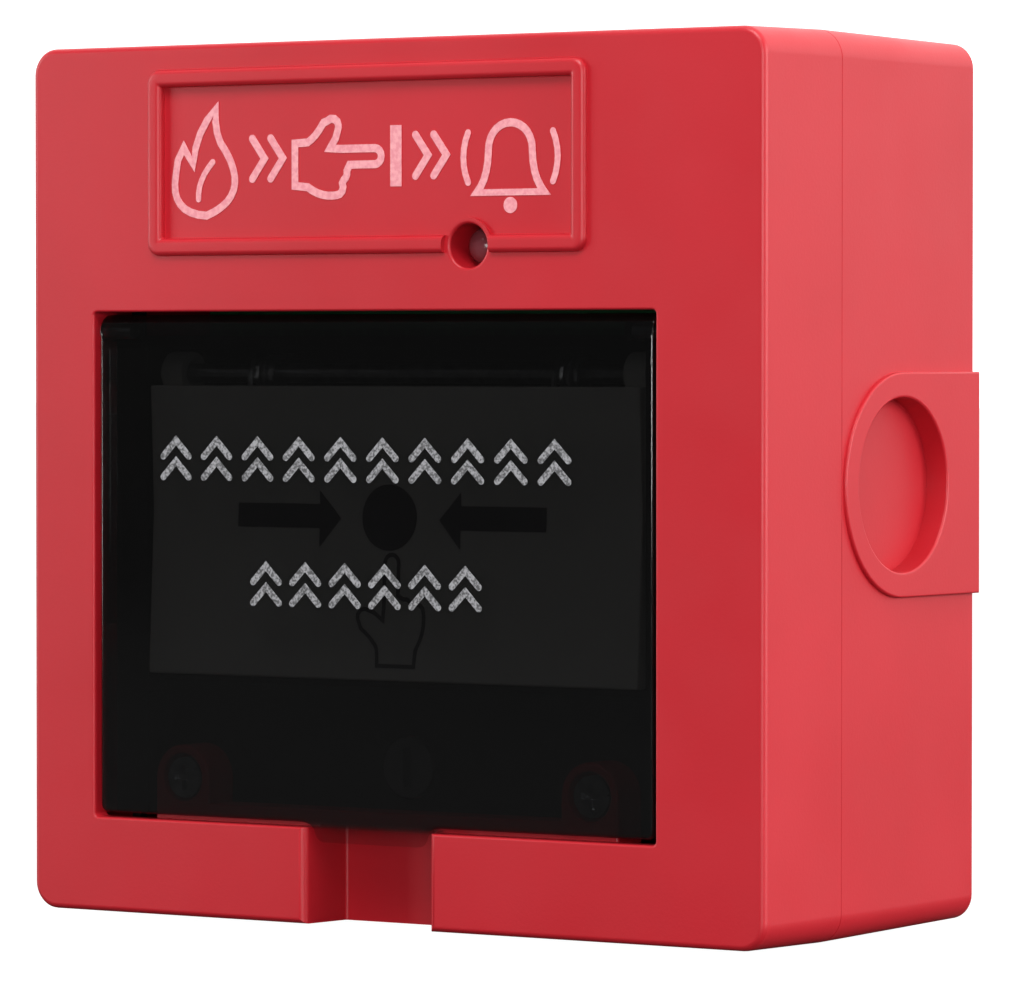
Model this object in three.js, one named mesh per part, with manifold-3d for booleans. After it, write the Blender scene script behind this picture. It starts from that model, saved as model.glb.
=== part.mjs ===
// Manual call point: a red moulded wall unit with a lift-up smoked flap over a press plate.
// Millimetres. X runs to the right, Z up, Y into the wall: the wall face is Y = 0 and the
// front face is Y = -DEPTH. Inside the unit a place is given by its depth behind the front.

import * as THREE from 'three';
import { mergeVertices } from 'three/addons/utils/BufferGeometryUtils.js';
import Module from 'manifold-3d';

const wasm = await Module();
wasm.setup();

// ---------- driving dimensions ----------
const WIDTH = 105; // square front face
const DEPTH = 48; // front face to wall face
const SEAM = 16.5; // depth of the joint between cover and back box
const SEAM_WIDTH = 105.5; // both mouldings are widest at the joint
const WALL_WIDTH = 104.6; // outside of the back box at the wall
const WALL = 2.5; // thickness of both mouldings
const GAP = 0.3; // clearance between neighbouring pieces
const CORNER = 3.2; // corner radius of the housing
const EDGE = 0.75; // rounding of the front edge
const CAVITY = WIDTH - 2 * WALL;
const AXIS = -2.7; // X of the line on which the front features are centred

const WINDOW = { half: 40.5, bottom: -41, top: 20.4 };
const NOTCH = { half: 8.9, depth: 8.5, wall: 2 };
const RIDGE = { width: 64, height: 22.4, bar: 1.9, z: 38.3, rise: 0.7, corner: 2.2, recess: 0.6 };
const LAMP = { x: AXIS + 14.55, z: 27.95, hole: 2.6, collar: 4.2 };

const HINGE = { depth: 2.5, z: 18, barrel: 2.05, pin: 0.9, bore: 1.2, end: 46 };
const FLAP = { half: 39.9, bottom: -40.4, front: 0.45, thick: 2, tab: -42.75 };

const LOCK = { x: 29.45, z: -36, lug: 4, front: 3.1, back: 8 };
const TRAY = { half: 40.8, front: 5, back: 18, floor: 16, top: 17.5, bottom: -40.6 };
const POCKET = { half: 36, top: 16, bottom: -24.3 };
const DECK = { front: 9, back: 11, top: -25.8 };
const EAR = { x: 43.3, z: [10, -20], radius: 2.2 };
const STANDOFF = { x: 30, z: [10, -20], radius: 2.5, back: 20 };

const PIVOT = { depth: 9, z: 13, rod: 1.2, bore: 1.5, eye: 2.6 };
const PLATE = { half: 35.4, thick: 2, top: 11.5, fold: -2.7, bottom: -23.5 };
const PLATE_FRONT = { top: 4.6, fold: 5.2, bottom: 4.2 };
const SWITCH = { x: AXIS + 14, z: -13, front: 10.2, back: 15.7 };
const RESET = { z: -34, head: 3.6, stem: 2 };
const BOARD = { half: 38, front: 20.3, back: 21.9, bottom: -24, top: 36 };
const TERMINAL = { poles: 6, pitch: 5, front: 22.2, back: 32.2, bottom: 4, top: 14 };

const KNOCKOUT = { radius: 10.25, pad: 13.2, depth: 30, face: 53.2, recess: 2.9 };
const WALL_HOLE = { x: 30.15, radius: 2.4, boss: 5 };
const REAR_ENTRY = { z: 24, radius: 8 };
const HOOK = { x: 25, half: 5 };

// ---------- finishes ----------
function finish(color, roughness, metalness = 0) {
  return new THREE.MeshStandardMaterial({ color, roughness, metalness });
}

const redPlastic = finish(0xb92a34, 0.45);
const smokedPlastic = finish(0x1c1b1d, 0.12);
const blackPlastic = finish(0x161616, 0.5);
const whitePlastic = finish(0xdedcd6, 0.4);
const greyPlastic = finish(0x55585c, 0.5);
const greenPlastic = finish(0x2f7a4a, 0.45);
const boardLaminate = finish(0x14532f, 0.4);
const lampPlastic = finish(0x7a1524, 0.15);
const blackRubber = finish(0x1d1d1e, 0.85);
const steel = finish(0xb9bcc0, 0.3, 1);
const brass = finish(0xc9a24a, 0.3, 1);

// ---------- solids ----------
const yOf = (depth) => depth - DEPTH;

function solid(geometry) {
  geometry.deleteAttribute('normal');
  geometry.deleteAttribute('uv');
  const merged = mergeVertices(geometry, 1e-4);
  const vertProperties = new Float32Array(merged.attributes.position.array);
  const triVerts = new Uint32Array(merged.index.array);
  return new wasm.Manifold(new wasm.Mesh({ numProp: 3, vertProperties, triVerts }));
}

function block(x0, x1, depth0, depth1, z0, z1) {
  const geometry = new THREE.BoxGeometry(x1 - x0, depth1 - depth0, z1 - z0);
  geometry.translate((x0 + x1) / 2, yOf((depth0 + depth1) / 2), (z0 + z1) / 2);
  return solid(geometry);
}

// A round bar along the depth, centred on (x, z).
function peg(x, z, radius, depth0, depth1, sides = 20) {
  const geometry = new THREE.CylinderGeometry(radius, radius, depth1 - depth0, sides);
  geometry.translate(x, yOf((depth0 + depth1) / 2), z);
  return solid(geometry);
}

// A round bar along X, centred on (depth, z).
function crossBar(x0, x1, depth, z, radius, sides = 16) {
  const geometry = new THREE.CylinderGeometry(radius, radius, x1 - x0, sides);
  geometry.rotateZ(Math.PI / 2);
  geometry.translate((x0 + x1) / 2, yOf(depth), z);
  return solid(geometry);
}

// A profile of [radius, depth] points, from the deepest to the nearest, turned about the
// line through (x, z) that runs along the depth.
function turned(x, z, profile, sides = 16) {
  const points = profile.map(([radius, depth]) => new THREE.Vector2(radius, yOf(depth)));
  const geometry = new THREE.LatheGeometry(points.reverse(), sides);
  geometry.translate(x, 0, z);
  return solid(geometry);
}

function roundedRectangle(width, height, radius, x = 0, z = 0) {
  const shape = new THREE.Shape();
  const right = x + width / 2 - radius;
  const left = x - width / 2 + radius;
  const top = z + height / 2 - radius;
  const bottom = z - height / 2 + radius;
  shape.absarc(right, top, radius, 0, Math.PI / 2);
  shape.absarc(left, top, radius, Math.PI / 2, Math.PI);
  shape.absarc(left, bottom, radius, Math.PI, 1.5 * Math.PI);
  shape.absarc(right, bottom, radius, 1.5 * Math.PI, 2 * Math.PI);
  shape.closePath();
  return shape;
}

// An outline in X and Z carried from depth0 to depth1.
function slab(shape, depth0, depth1, curveSegments = 4) {
  const settings = { depth: depth1 - depth0, bevelEnabled: false, curveSegments };
  const geometry = new THREE.ExtrudeGeometry(shape, settings);
  geometry.rotateX(Math.PI / 2);
  geometry.translate(0, yOf(depth1), 0);
  return solid(geometry);
}

// An outline in Y and Z carried from x0 to x1.
function sideSlab(shape, x0, x1, curveSegments = 10) {
  const settings = { depth: x1 - x0, bevelEnabled: false, curveSegments };
  const geometry = new THREE.ExtrudeGeometry(shape, settings);
  geometry.rotateX(Math.PI / 2);
  geometry.rotateZ(Math.PI / 2);
  geometry.translate(x0, 0, 0);
  return solid(geometry);
}

function joined(first, ...others) {
  return others.reduce((sum, other) => sum.add(other), first);
}

function cut(first, ...tools) {
  return tools.reduce((rest, tool) => rest.subtract(tool), first);
}

// Draft: the outline is scaled so that its width at each depth is widthAt(depth).
function drafted(geometry, widthAt) {
  const place = geometry.attributes.position;
  for (let i = 0; i < place.count; i += 1) {
    const scale = widthAt(place.getY(i) + DEPTH) / WIDTH;
    place.setX(i, place.getX(i) * scale);
    place.setZ(i, place.getZ(i) * scale);
  }
  return geometry;
}

const callPoint = new THREE.Group();

function addPiece(name, body, material, parent = callPoint) {
  const { vertProperties, triVerts } = body.getMesh();
  const geometry = new THREE.BufferGeometry();
  geometry.setAttribute('position', new THREE.BufferAttribute(vertProperties, 3));
  geometry.setIndex(new THREE.BufferAttribute(triVerts, 1));
  geometry.computeVertexNormals();
  const mesh = new THREE.Mesh(geometry, material);
  mesh.name = name;
  parent.add(mesh);
  return mesh;
}

// A group whose own origin is a pivot; pieces drawn in the unit's frame are moved into it.
function pivotGroup(depth, z) {
  const group = new THREE.Group();
  group.position.set(AXIS, yOf(depth), z);
  callPoint.add(group);
  return group;
}

function addPivoted(name, body, material, group) {
  const { x, y, z } = group.position;
  addPiece(name, body.translate([-x, -y, -z]), material, group);
}

const bothSides = [-1, 1];
const fourCorners = ({ x, z }) => bothSides.flatMap((side) => z.map((height) => [AXIS + side * x, height]));

// ---------- front cover ----------
function coverShell() {
  const settings = {
    depth: SEAM,
    curveSegments: 6,
    bevelThickness: EDGE,
    bevelSize: EDGE,
    bevelOffset: -EDGE,
    bevelSegments: 2,
  };
  const geometry = new THREE.ExtrudeGeometry(roundedRectangle(WIDTH, WIDTH, CORNER), settings);
  geometry.rotateX(Math.PI / 2);
  geometry.translate(0, yOf(SEAM + EDGE), 0);
  const widthAt = (depth) => WIDTH + ((SEAM_WIDTH - WIDTH) * Math.max(depth, 0)) / SEAM;
  const outside = solid(drafted(geometry, widthAt));
  const rim = SEAM - GAP / 2;
  return cut(
    outside,
    slab(roundedRectangle(CAVITY, CAVITY, CORNER - WALL), WALL, SEAM + 2),
    block(-WIDTH, WIDTH, rim, SEAM + 2, -WIDTH, WIDTH),
  );
}

function labelFrame(cover) {
  const { width, height, bar, z, rise, corner, recess } = RIDGE;
  const inner = roundedRectangle(width - 2 * bar, height - 2 * bar, 0.5, AXIS, z);
  const ridge = slab(roundedRectangle(width, height, corner, AXIS, z), -rise, 0.5);
  const framed = cut(cover.add(ridge), slab(inner, -rise - 1, recess));
  const clearing = peg(LAMP.x, LAMP.z, LAMP.collar - 0.6, -rise - 1, 0);
  const guide = peg(LAMP.x, LAMP.z, LAMP.collar, WALL - 0.2, 6);
  return cut(framed.subtract(clearing).add(guide), peg(LAMP.x, LAMP.z, LAMP.hole, -2, 7));
}

function fingerNotch(cover) {
  const { half, depth, wall } = NOTCH;
  const bottom = -WIDTH / 2;
  const outside = half + wall;
  const trough = block(AXIS - outside, AXIS + outside, 1, depth + wall, bottom + 1, WINDOW.bottom);
  const hollow = block(AXIS - half, AXIS + half, -1, depth, bottom - 2, WINDOW.bottom + 0.2);
  return cover.add(trough).subtract(hollow);
}

function flapBearings(cover) {
  const { depth, z, end, bore } = HINGE;
  let result = cover;
  for (const side of bothSides) {
    const [x0, x1] = [WINDOW.half, end].map((x) => AXIS + side * x).sort((a, b) => a - b);
    const [b0, b1] = [WINDOW.half - 1, end - 1].map((x) => AXIS + side * x).sort((a, b) => a - b);
    result = result.add(block(x0, x1, WALL - 0.2, 4.7, z - 2.8, z + 2.8));
    result = result.subtract(crossBar(b0, b1, depth, z, bore));
  }
  return result;
}

function screwLugs(cover) {
  const { x, z, lug, front, back } = LOCK;
  const sill = block(AXIS - x, AXIS + x, WALL - 0.3, back, WINDOW.bottom - 3, WINDOW.bottom - 0.4);
  const ledge = block(AXIS - x, AXIS + x, front, back, WINDOW.bottom - 1, WINDOW.bottom + 2);
  const notchLeft = AXIS - NOTCH.half;
  const notchRight = AXIS + NOTCH.half;
  const clearNotch = block(notchLeft, notchRight, 0, NOTCH.depth, WINDOW.bottom - 4, WINDOW.bottom);
  let result = joined(cover, sill, ledge).subtract(clearNotch);
  for (const side of bothSides) {
    const centre = AXIS + side * x;
    result = joined(
      result,
      peg(centre, z, lug, front, back),
      block(centre - lug, centre + lug, front, back, WINDOW.bottom - 3, z),
      block(centre - lug, centre + lug, WALL - 0.3, back, WINDOW.bottom - 3, WINDOW.bottom - 0.4),
    );
    const bore = peg(centre, z, 1.8, front - 1, back + 1);
    const headSeat = peg(centre, z, 2.9, front - 1, front + 2.5);
    result = cut(result, bore, headSeat);
  }
  return result;
}

function frontCover() {
  let cover = labelFrame(coverShell());
  const left = AXIS - WINDOW.half;
  const right = AXIS + WINDOW.half;
  cover = cover.subtract(block(left, right, -1, WALL + 0.5, WINDOW.bottom, WINDOW.top));
  cover = screwLugs(flapBearings(fingerNotch(cover)));
  for (const [x, z] of fourCorners(EAR)) {
    cover = cover.add(peg(x, z, EAR.radius, WALL - 0.2, TRAY.floor - GAP, 12));
    cover = cover.subtract(peg(x, z, 1.4, 7, TRAY.floor, 10));
  }
  for (const side of bothSides) {
    const [x0, x1] = [side * HOOK.x - HOOK.half, side * HOOK.x + HOOK.half];
    cover = joined(
      cover,
      block(x0, x1, 12, 16, 45.5, CAVITY / 2 + 0.2),
      block(x0, x1, 12, 22.5, 45.5, 47),
      block(x0, x1, 21.3, 22.5, 46.5, 48.8),
    );
  }
  return cover;
}

// ---------- back box ----------
// The raised D-shaped pad around a conduit knockout, drawn on the right-hand side.
function conduitPad() {
  const { pad, depth, face } = KNOCKOUT;
  const outline = new THREE.Shape();
  outline.moveTo(0, -pad);
  outline.lineTo(0, pad);
  outline.lineTo(yOf(depth), pad);
  outline.absarc(yOf(depth), 0, pad, Math.PI / 2, 1.5 * Math.PI);
  outline.closePath();
  const raised = sideSlab(outline, CAVITY / 2 + 0.5, face);
  const thickening = crossBar(CAVITY / 2 - 1, CAVITY / 2 + 1, depth, 0, KNOCKOUT.radius + 1.75, 24);
  return raised.add(thickening);
}

function backShell() {
  const geometry = new THREE.ExtrudeGeometry(
    roundedRectangle(WIDTH, WIDTH, CORNER),
    { depth: DEPTH - SEAM - GAP / 2, curveSegments: 6, bevelEnabled: false },
  );
  geometry.rotateX(Math.PI / 2);
  const slope = (SEAM_WIDTH - WALL_WIDTH) / (DEPTH - SEAM);
  const outside = solid(drafted(geometry, (depth) => SEAM_WIDTH - slope * (depth - SEAM)));
  return outside.subtract(slab(roundedRectangle(CAVITY, CAVITY, CORNER - WALL), SEAM - 1, DEPTH - WALL));
}

function backBox() {
  const { radius, depth, face, recess } = KNOCKOUT;
  let box = backShell();
  for (const turn of [0, 90, 180, 270]) {
    const knockout = crossBar(face - recess, face + 1, depth, 0, radius, 32);
    box = box.add(conduitPad().rotate([0, turn, 0])).subtract(knockout.rotate([0, turn, 0]));
  }
  for (const side of bothSides) {
    const postX = AXIS + side * LOCK.x;
    const holeX = side * WALL_HOLE.x;
    const hookX = side * HOOK.x;
    box = joined(
      box,
      peg(postX, LOCK.z, LOCK.lug, TRAY.back + 0.6, DEPTH - WALL + 0.2),
      peg(holeX, 0, WALL_HOLE.boss, DEPTH - WALL - 2, DEPTH - WALL + 0.2),
      block(hookX - HOOK.half, hookX + HOOK.half, 18.8, 20.8, 47.4, CAVITY / 2 + 0.2),
    );
    box = cut(
      box,
      peg(postX, LOCK.z, 2.9, TRAY.back, 27),
      peg(postX, LOCK.z, 2, 26, 34),
      peg(holeX, 0, WALL_HOLE.radius, DEPTH - 6, DEPTH + 1),
    );
  }
  return box.subtract(peg(0, REAR_ENTRY.z, REAR_ENTRY.radius, DEPTH - 6, DEPTH + 1, 28));
}

function sealGasket() {
  const outer = CAVITY - 2 * GAP;
  const ring = roundedRectangle(outer, outer, CORNER - WALL);
  ring.holes.push(roundedRectangle(outer - 2.4, outer - 2.4, 1));
  return slab(ring, SEAM - 0.3, SEAM + 1.1);
}

// A soft ring lines the rear cable entry: a flange inside the box and a sleeve in the hole.
function cableGrommet() {
  const { z, radius } = REAR_ENTRY;
  const inside = DEPTH - WALL - GAP;
  const sleeve = radius - GAP;
  const profile = [
    [6, DEPTH - GAP],
    [sleeve, DEPTH - GAP],
    [sleeve, inside],
    [radius + 2, inside],
    [radius + 2, inside - 1.5],
    [radius + 1.6, inside - 2],
    [6, inside - 2],
    [6, DEPTH - GAP],
  ];
  return turned(0, z, profile, 28);
}

// ---------- fasteners ----------
// facing: 1 when the head looks to the wall, -1 when it looks to the front.
function screw({ x, z, seat, length, shank, head, thick, facing }) {
  const tip = seat - facing * length;
  const top = seat + facing * thick;
  const [near, far] = [tip, seat].sort((a, b) => a - b);
  const [headNear, headFar] = [seat, top].sort((a, b) => a - b);
  const body = peg(x, z, shank, near, far + 0.01, 12).add(peg(x, z, head, headNear, headFar, 16));
  const [slotNear, slotFar] = [top - facing * thick * 0.5, top + facing].sort((a, b) => a - b);
  const arm = head * 0.62;
  const width = head * 0.14;
  return cut(
    body,
    block(x - arm, x + arm, slotNear, slotFar, z - width, z + width),
    block(x - width, x + width, slotNear, slotFar, z - arm, z + arm),
  );
}

function tube(x, z, outer, inner, depth0, depth1, sides = 18) {
  return peg(x, z, outer, depth0, depth1, sides).subtract(peg(x, z, inner, depth0 - 1, depth1 + 1, sides));
}

// ---------- flap ----------
function flapOutline() {
  const { half, bottom, tab } = FLAP;
  const outline = new THREE.Shape();
  outline.moveTo(-half, HINGE.z);
  outline.lineTo(-half, bottom + 1);
  outline.absarc(1 - half, bottom + 1, 1, Math.PI, 1.5 * Math.PI);
  outline.lineTo(-10.4, bottom);
  outline.quadraticCurveTo(-8.4, bottom, -8, bottom - 1.1);
  outline.quadraticCurveTo(-7.7, tab, -6.6, tab);
  outline.lineTo(6.6, tab);
  outline.quadraticCurveTo(7.7, tab, 8, bottom - 1.1);
  outline.quadraticCurveTo(8.4, bottom, 10.4, bottom);
  outline.lineTo(half - 1, bottom);
  outline.absarc(half - 1, bottom + 1, 1, 1.5 * Math.PI, 2 * Math.PI);
  outline.lineTo(half, HINGE.z);
  outline.closePath();
  return outline;
}

function flapBody() {
  const { half, front, thick } = FLAP;
  const { depth, z, barrel, bore } = HINGE;
  let body = slab(flapOutline(), front, front + thick).translate([AXIS, 0, 0]);
  body = body.add(crossBar(AXIS - half, AXIS + half, depth, z, barrel, 20));
  for (const side of bothSides) {
    const [x0, x1] = [half - 4.5, half + 1].map((x) => AXIS + side * x).sort((a, b) => a - b);
    body = body.subtract(crossBar(x0, x1, depth, z, bore));
  }
  return body;
}

function flapPin(side) {
  const [x0, x1] = [FLAP.half - 3.7, HINGE.end - 1.6].map((x) => AXIS + side * x).sort((a, b) => a - b);
  return crossBar(x0, x1, HINGE.depth, HINGE.z, HINGE.pin, 12);
}

// ---------- mechanism tray ----------
function mechanismTray() {
  const { half, front, back, floor, top, bottom } = TRAY;
  const left = AXIS - half;
  const right = AXIS + half;
  let tray = block(left, right, front, back, bottom, top);
  tray = cut(
    tray,
    block(AXIS - POCKET.half, AXIS + POCKET.half, front - 1, floor, POCKET.bottom, POCKET.top),
    block(AXIS - POCKET.half, AXIS + POCKET.half, front - 1, DECK.front, bottom - 1, DECK.top),
    block(left + 2, right - 2, DECK.back, back + 1, bottom + 2, DECK.top - 2),
    crossBar(left - 1, right + 1, PIVOT.depth, PIVOT.z, PIVOT.bore),
    peg(AXIS, RESET.z, RESET.head + GAP, DECK.front - 1, DECK.back + 1),
    block(AXIS - 3.4, AXIS + 3.4, 12.1, 15.9, DECK.top - 3, POCKET.bottom + 1),
    block(SWITCH.x - 6, SWITCH.x + 6, floor - 0.1, back + 1, SWITCH.z - 1, SWITCH.z + 1),
  );
  for (const [x, z] of fourCorners(EAR)) {
    const inward = Math.sign(AXIS - x);
    const [x0, x1] = [x - inward * EAR.radius, x + inward * 3.5].sort((a, b) => a - b);
    tray = tray.add(block(x0, x1, floor, back, z - EAR.radius, z + EAR.radius));
    tray = tray.subtract(peg(x, z, 1.4, floor - 1, back + 1, 12));
  }
  for (const [x, z] of fourCorners(STANDOFF)) {
    tray = tray.add(peg(x, z, STANDOFF.radius, back - 0.2, STANDOFF.back, 14));
    tray = tray.subtract(peg(x, z, 1.3, floor - 1, STANDOFF.back + 1, 12));
  }
  for (const side of bothSides) {
    tray = tray.subtract(peg(AXIS + side * LOCK.x, LOCK.z, 2.2, DECK.front - 1, back + 1));
  }
  return tray;
}

// ---------- press plate ----------
function pressPlate() {
  const { half, thick, top, fold, bottom } = PLATE;
  const front = PLATE_FRONT;
  const section = new THREE.Shape([
    new THREE.Vector2(yOf(front.top), top),
    new THREE.Vector2(yOf(front.fold), fold),
    new THREE.Vector2(yOf(front.bottom), bottom),
    new THREE.Vector2(yOf(front.bottom + thick), bottom),
    new THREE.Vector2(yOf(front.fold + thick), fold),
    new THREE.Vector2(yOf(front.top + thick), top),
  ]);
  let plate = sideSlab(section, AXIS - half, AXIS + half);
  for (const side of bothSides) {
    const [x0, x1] = [half - 0.4, half - 3.4].map((x) => AXIS + side * x).sort((a, b) => a - b);
    plate = joined(
      plate,
      crossBar(x0, x1, PIVOT.depth, PIVOT.z, PIVOT.eye),
      block(x0, x1, front.top + 1, PIVOT.depth, 6, top - 0.2),
    );
  }
  const striker = peg(SWITCH.x, SWITCH.z, 2, front.fold + 1, SWITCH.front - 2.9, 14);
  return plate.add(striker).subtract(crossBar(-WIDTH, WIDTH, PIVOT.depth, PIVOT.z, PIVOT.bore));
}

// A torsion spring round the pivot rod; one leg bears on the plate, the other on the tray.
function plateSpring(side) {
  const coil = 2;
  const turns = 3.25;
  const pitch = 1;
  const startX = AXIS + side * 22;
  const points = [new THREE.Vector3(startX, yOf(7.6), 5), new THREE.Vector3(startX, yOf(7.2), 9)];
  const steps = 30;
  for (let i = 0; i <= steps; i += 1) {
    const angle = Math.PI - (2 * Math.PI * turns * i) / steps;
    const x = startX + (pitch * turns * i) / steps;
    const y = yOf(PIVOT.depth) + coil * Math.cos(angle);
    const z = PIVOT.z + coil * Math.sin(angle);
    points.push(new THREE.Vector3(x, y, z));
  }
  points.push(new THREE.Vector3(startX + pitch * turns + 0.2, yOf(12.2), PIVOT.z + coil));
  const wire = new THREE.Shape();
  wire.absarc(0, 0, 0.35, 0, 2 * Math.PI);
  const extrudePath = new THREE.CatmullRomCurve3(points, false, 'centripetal');
  return solid(new THREE.ExtrudeGeometry(wire, { steps: 44, curveSegments: 3, extrudePath }));
}

// ---------- trip switch ----------
function tripSwitch() {
  const { x, z, front, back } = SWITCH;
  let body = block(x - 6.4, x + 6.4, front, back, z - 3, z + 3);
  body = body.subtract(peg(x, z, 1.5, front - 1, back - 0.4, 14));
  for (const offset of [-5, 0, 5]) {
    const left = x + offset - 0.5;
    const right = x + offset + 0.5;
    body = body.add(block(left, right, back - 0.2, BOARD.front - GAP, z - 0.25, z + 0.25));
  }
  return body;
}

// ---------- reset lock ----------
function resetBarrel() {
  const head = peg(AXIS, RESET.z, RESET.head, DECK.front - GAP, DECK.back + 0.7, 24);
  const stem = peg(AXIS, RESET.z, RESET.stem, DECK.back + 0.5, TRAY.back - 0.2, 16);
  const slotEnd = DECK.front + 1.2;
  const keyway = block(AXIS - 0.7, AXIS + 0.7, DECK.front - 1, slotEnd, RESET.z - 2.4, RESET.z + 2.4);
  return head.add(stem).subtract(keyway);
}

function resetCam() {
  const disc = peg(AXIS, RESET.z + 0.6, 3.6, TRAY.floor + 0.2, TRAY.back - 0.4, 20);
  return disc.subtract(peg(AXIS, RESET.z, RESET.stem + GAP, TRAY.floor - 1, TRAY.back + 1, 16));
}

function resetLatch() {
  return block(AXIS - 3, AXIS + 3, 12.4, 15.6, DECK.top - 3.8, POCKET.bottom - 0.4);
}

// ---------- circuit board and what stands on it ----------
function circuitBoard() {
  const { half, front, back, bottom, top } = BOARD;
  const outline = roundedRectangle(2 * half, top - bottom, 1.5, AXIS, (top + bottom) / 2);
  let board = slab(outline, front, back, 2);
  for (const [x, z] of fourCorners(STANDOFF)) {
    board = board.subtract(peg(x, z, 1.5, front - 1, back + 1, 12));
  }
  return board;
}

const poleX = (pole) => AXIS + TERMINAL.pitch * (pole - (TERMINAL.poles - 1) / 2);

function terminalBlock() {
  const { poles, pitch, front, back, bottom, top } = TERMINAL;
  const half = (poles * pitch) / 2;
  let body = block(AXIS - half, AXIS + half, front, back, bottom, top);
  for (let pole = 0; pole < poles; pole += 1) {
    const x = poleX(pole);
    body = cut(
      body,
      peg(x, top - 3.5, 1.9, front + 3, back + 1, 12),
      block(x - 1.7, x + 1.7, front + 2, front + 5, bottom - 1, bottom + 4),
    );
  }
  return body;
}

function relay() {
  return slab(roundedRectangle(15, 8, 0.8, AXIS - 25, -13), BOARD.back + GAP, BOARD.back + 10, 2);
}

function capacitor() {
  const [x, z] = [AXIS + 25, -13];
  const foot = BOARD.back + GAP;
  return turned(x, z, [[0, foot + 9], [2.8, foot + 9], [3, foot + 8.6], [3, foot], [0, foot]], 18);
}

// A resistor: a waisted body held over the board by two bent leads.
function resistor(x) {
  const centre = 22;
  const depth = BOARD.back + 2.4;
  const lowerHalf = [[0, -3.2], [1.2, -3.2], [1.2, -1.8], [0.95, -1.4]];
  const upperHalf = [[0.95, 1.4], [1.2, 1.8], [1.2, 3.2], [0, 3.2]];
  const profile = [...lowerHalf, ...upperHalf];
  const lathe = new THREE.LatheGeometry(profile.map(([radius, y]) => new THREE.Vector2(radius, y)), 12);
  lathe.rotateX(Math.PI / 2);
  lathe.translate(x, yOf(depth), centre);
  let body = solid(lathe);
  for (const side of bothSides) {
    const [inner, outer] = [centre + side * 3, centre + side * 5.3];
    const [z0, z1] = [inner, outer].sort((a, b) => a - b);
    const [foot0, foot1] = [outer - side * 0.6, outer].sort((a, b) => a - b);
    body = joined(
      body,
      block(x - 0.3, x + 0.3, depth - 0.3, depth + 0.3, z0, z1),
      block(x - 0.3, x + 0.3, BOARD.back + GAP, depth + 0.3, foot0, foot1),
    );
  }
  return body;
}

// ---------- status lamp ----------
function statusLamp() {
  const { x, z } = LAMP;
  const dome = [0, 15, 30, 45, 60, 75, 90].map((degrees) => {
    const angle = (degrees * Math.PI) / 180;
    return [2.3 * Math.cos(angle), 4.3 - 2.3 * Math.sin(angle)];
  });
  const lens = turned(x, z, [[0, 10.8], [2.7, 10.8], [2.7, 9.8], [2.3, 9.8], ...dome], 18);
  const leads = bothSides.map((side) => {
    const centre = x + side * 1.27;
    return block(centre - 0.25, centre + 0.25, 10.5, BOARD.front - GAP, z - 0.25, z + 0.25);
  });
  return joined(lens, ...leads);
}

// ---------- assembly ----------
addPiece('back_box', backBox(), redPlastic);
addPiece('front_cover', frontCover(), redPlastic);
addPiece('seal_gasket', sealGasket(), blackRubber);
addPiece('cable_grommet', cableGrommet(), blackRubber);
addPiece('mechanism_tray', mechanismTray(), blackPlastic);

const flapHinge = pivotGroup(HINGE.depth, HINGE.z);
addPivoted('flap', flapBody(), smokedPlastic, flapHinge);

const platePivot = pivotGroup(PIVOT.depth, PIVOT.z);
addPivoted('press_plate', pressPlate(), whitePlastic, platePivot);
const rodHalf = TRAY.half - 0.6;
addPiece('plate_pivot_rod', crossBar(AXIS - rodHalf, AXIS + rodHalf, PIVOT.depth, PIVOT.z, PIVOT.rod), steel);

for (const side of bothSides) {
  const hand = side < 0 ? 'left' : 'right';
  const x = AXIS + side * LOCK.x;
  addPiece(`flap_pin_${hand}`, flapPin(side), steel);
  addPivoted(`plate_spring_${hand}`, plateSpring(side), steel, platePivot);
  const coverScrew = { x, z: LOCK.z, seat: 5.3, length: 20, shank: 1.5, head: 2.5, thick: 1.7, facing: -1 };
  addPiece(`cover_screw_${hand}`, screw(coverScrew), steel);
  addPiece(`screw_insert_${hand}`, tube(x, LOCK.z, 2.6, 1.8, 19, 26), brass);
}

addPiece('trip_switch', tripSwitch(), greyPlastic);
addPiece('trip_plunger', peg(SWITCH.x, SWITCH.z, 1.1, SWITCH.front - 2.6, 12.5, 14), redPlastic);

const resetAxis = pivotGroup(DECK.front, RESET.z);
addPivoted('reset_barrel', resetBarrel(), greyPlastic, resetAxis);
addPivoted('reset_cam', resetCam(), greyPlastic, resetAxis);
addPiece('reset_latch', resetLatch(), greyPlastic);

addPiece('circuit_board', circuitBoard(), boardLaminate);
addPiece('terminal_block', terminalBlock(), greenPlastic);
for (let pole = 0; pole < TERMINAL.poles; pole += 1) {
  const place = { x: poleX(pole), z: TERMINAL.top - 3.5, seat: TERMINAL.back - 3.5 };
  const size = { length: 3.2, shank: 1.1, head: 1.6, thick: 1.4, facing: 1 };
  addPiece(`terminal_screw_${pole + 1}`, screw({ ...place, ...size }), steel);
}
addPiece('relay', relay(), blackPlastic);
addPiece('capacitor', capacitor(), greyPlastic);
addPiece('resistor_1', resistor(AXIS + 24), greyPlastic);
addPiece('resistor_2', resistor(AXIS + 30), greyPlastic);
addPiece('status_lamp', statusLamp(), lampPlastic);
addPiece('lamp_spacer', tube(LAMP.x, LAMP.z, 2.9, 1.95, 11.1, BOARD.front - GAP), whitePlastic);

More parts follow.
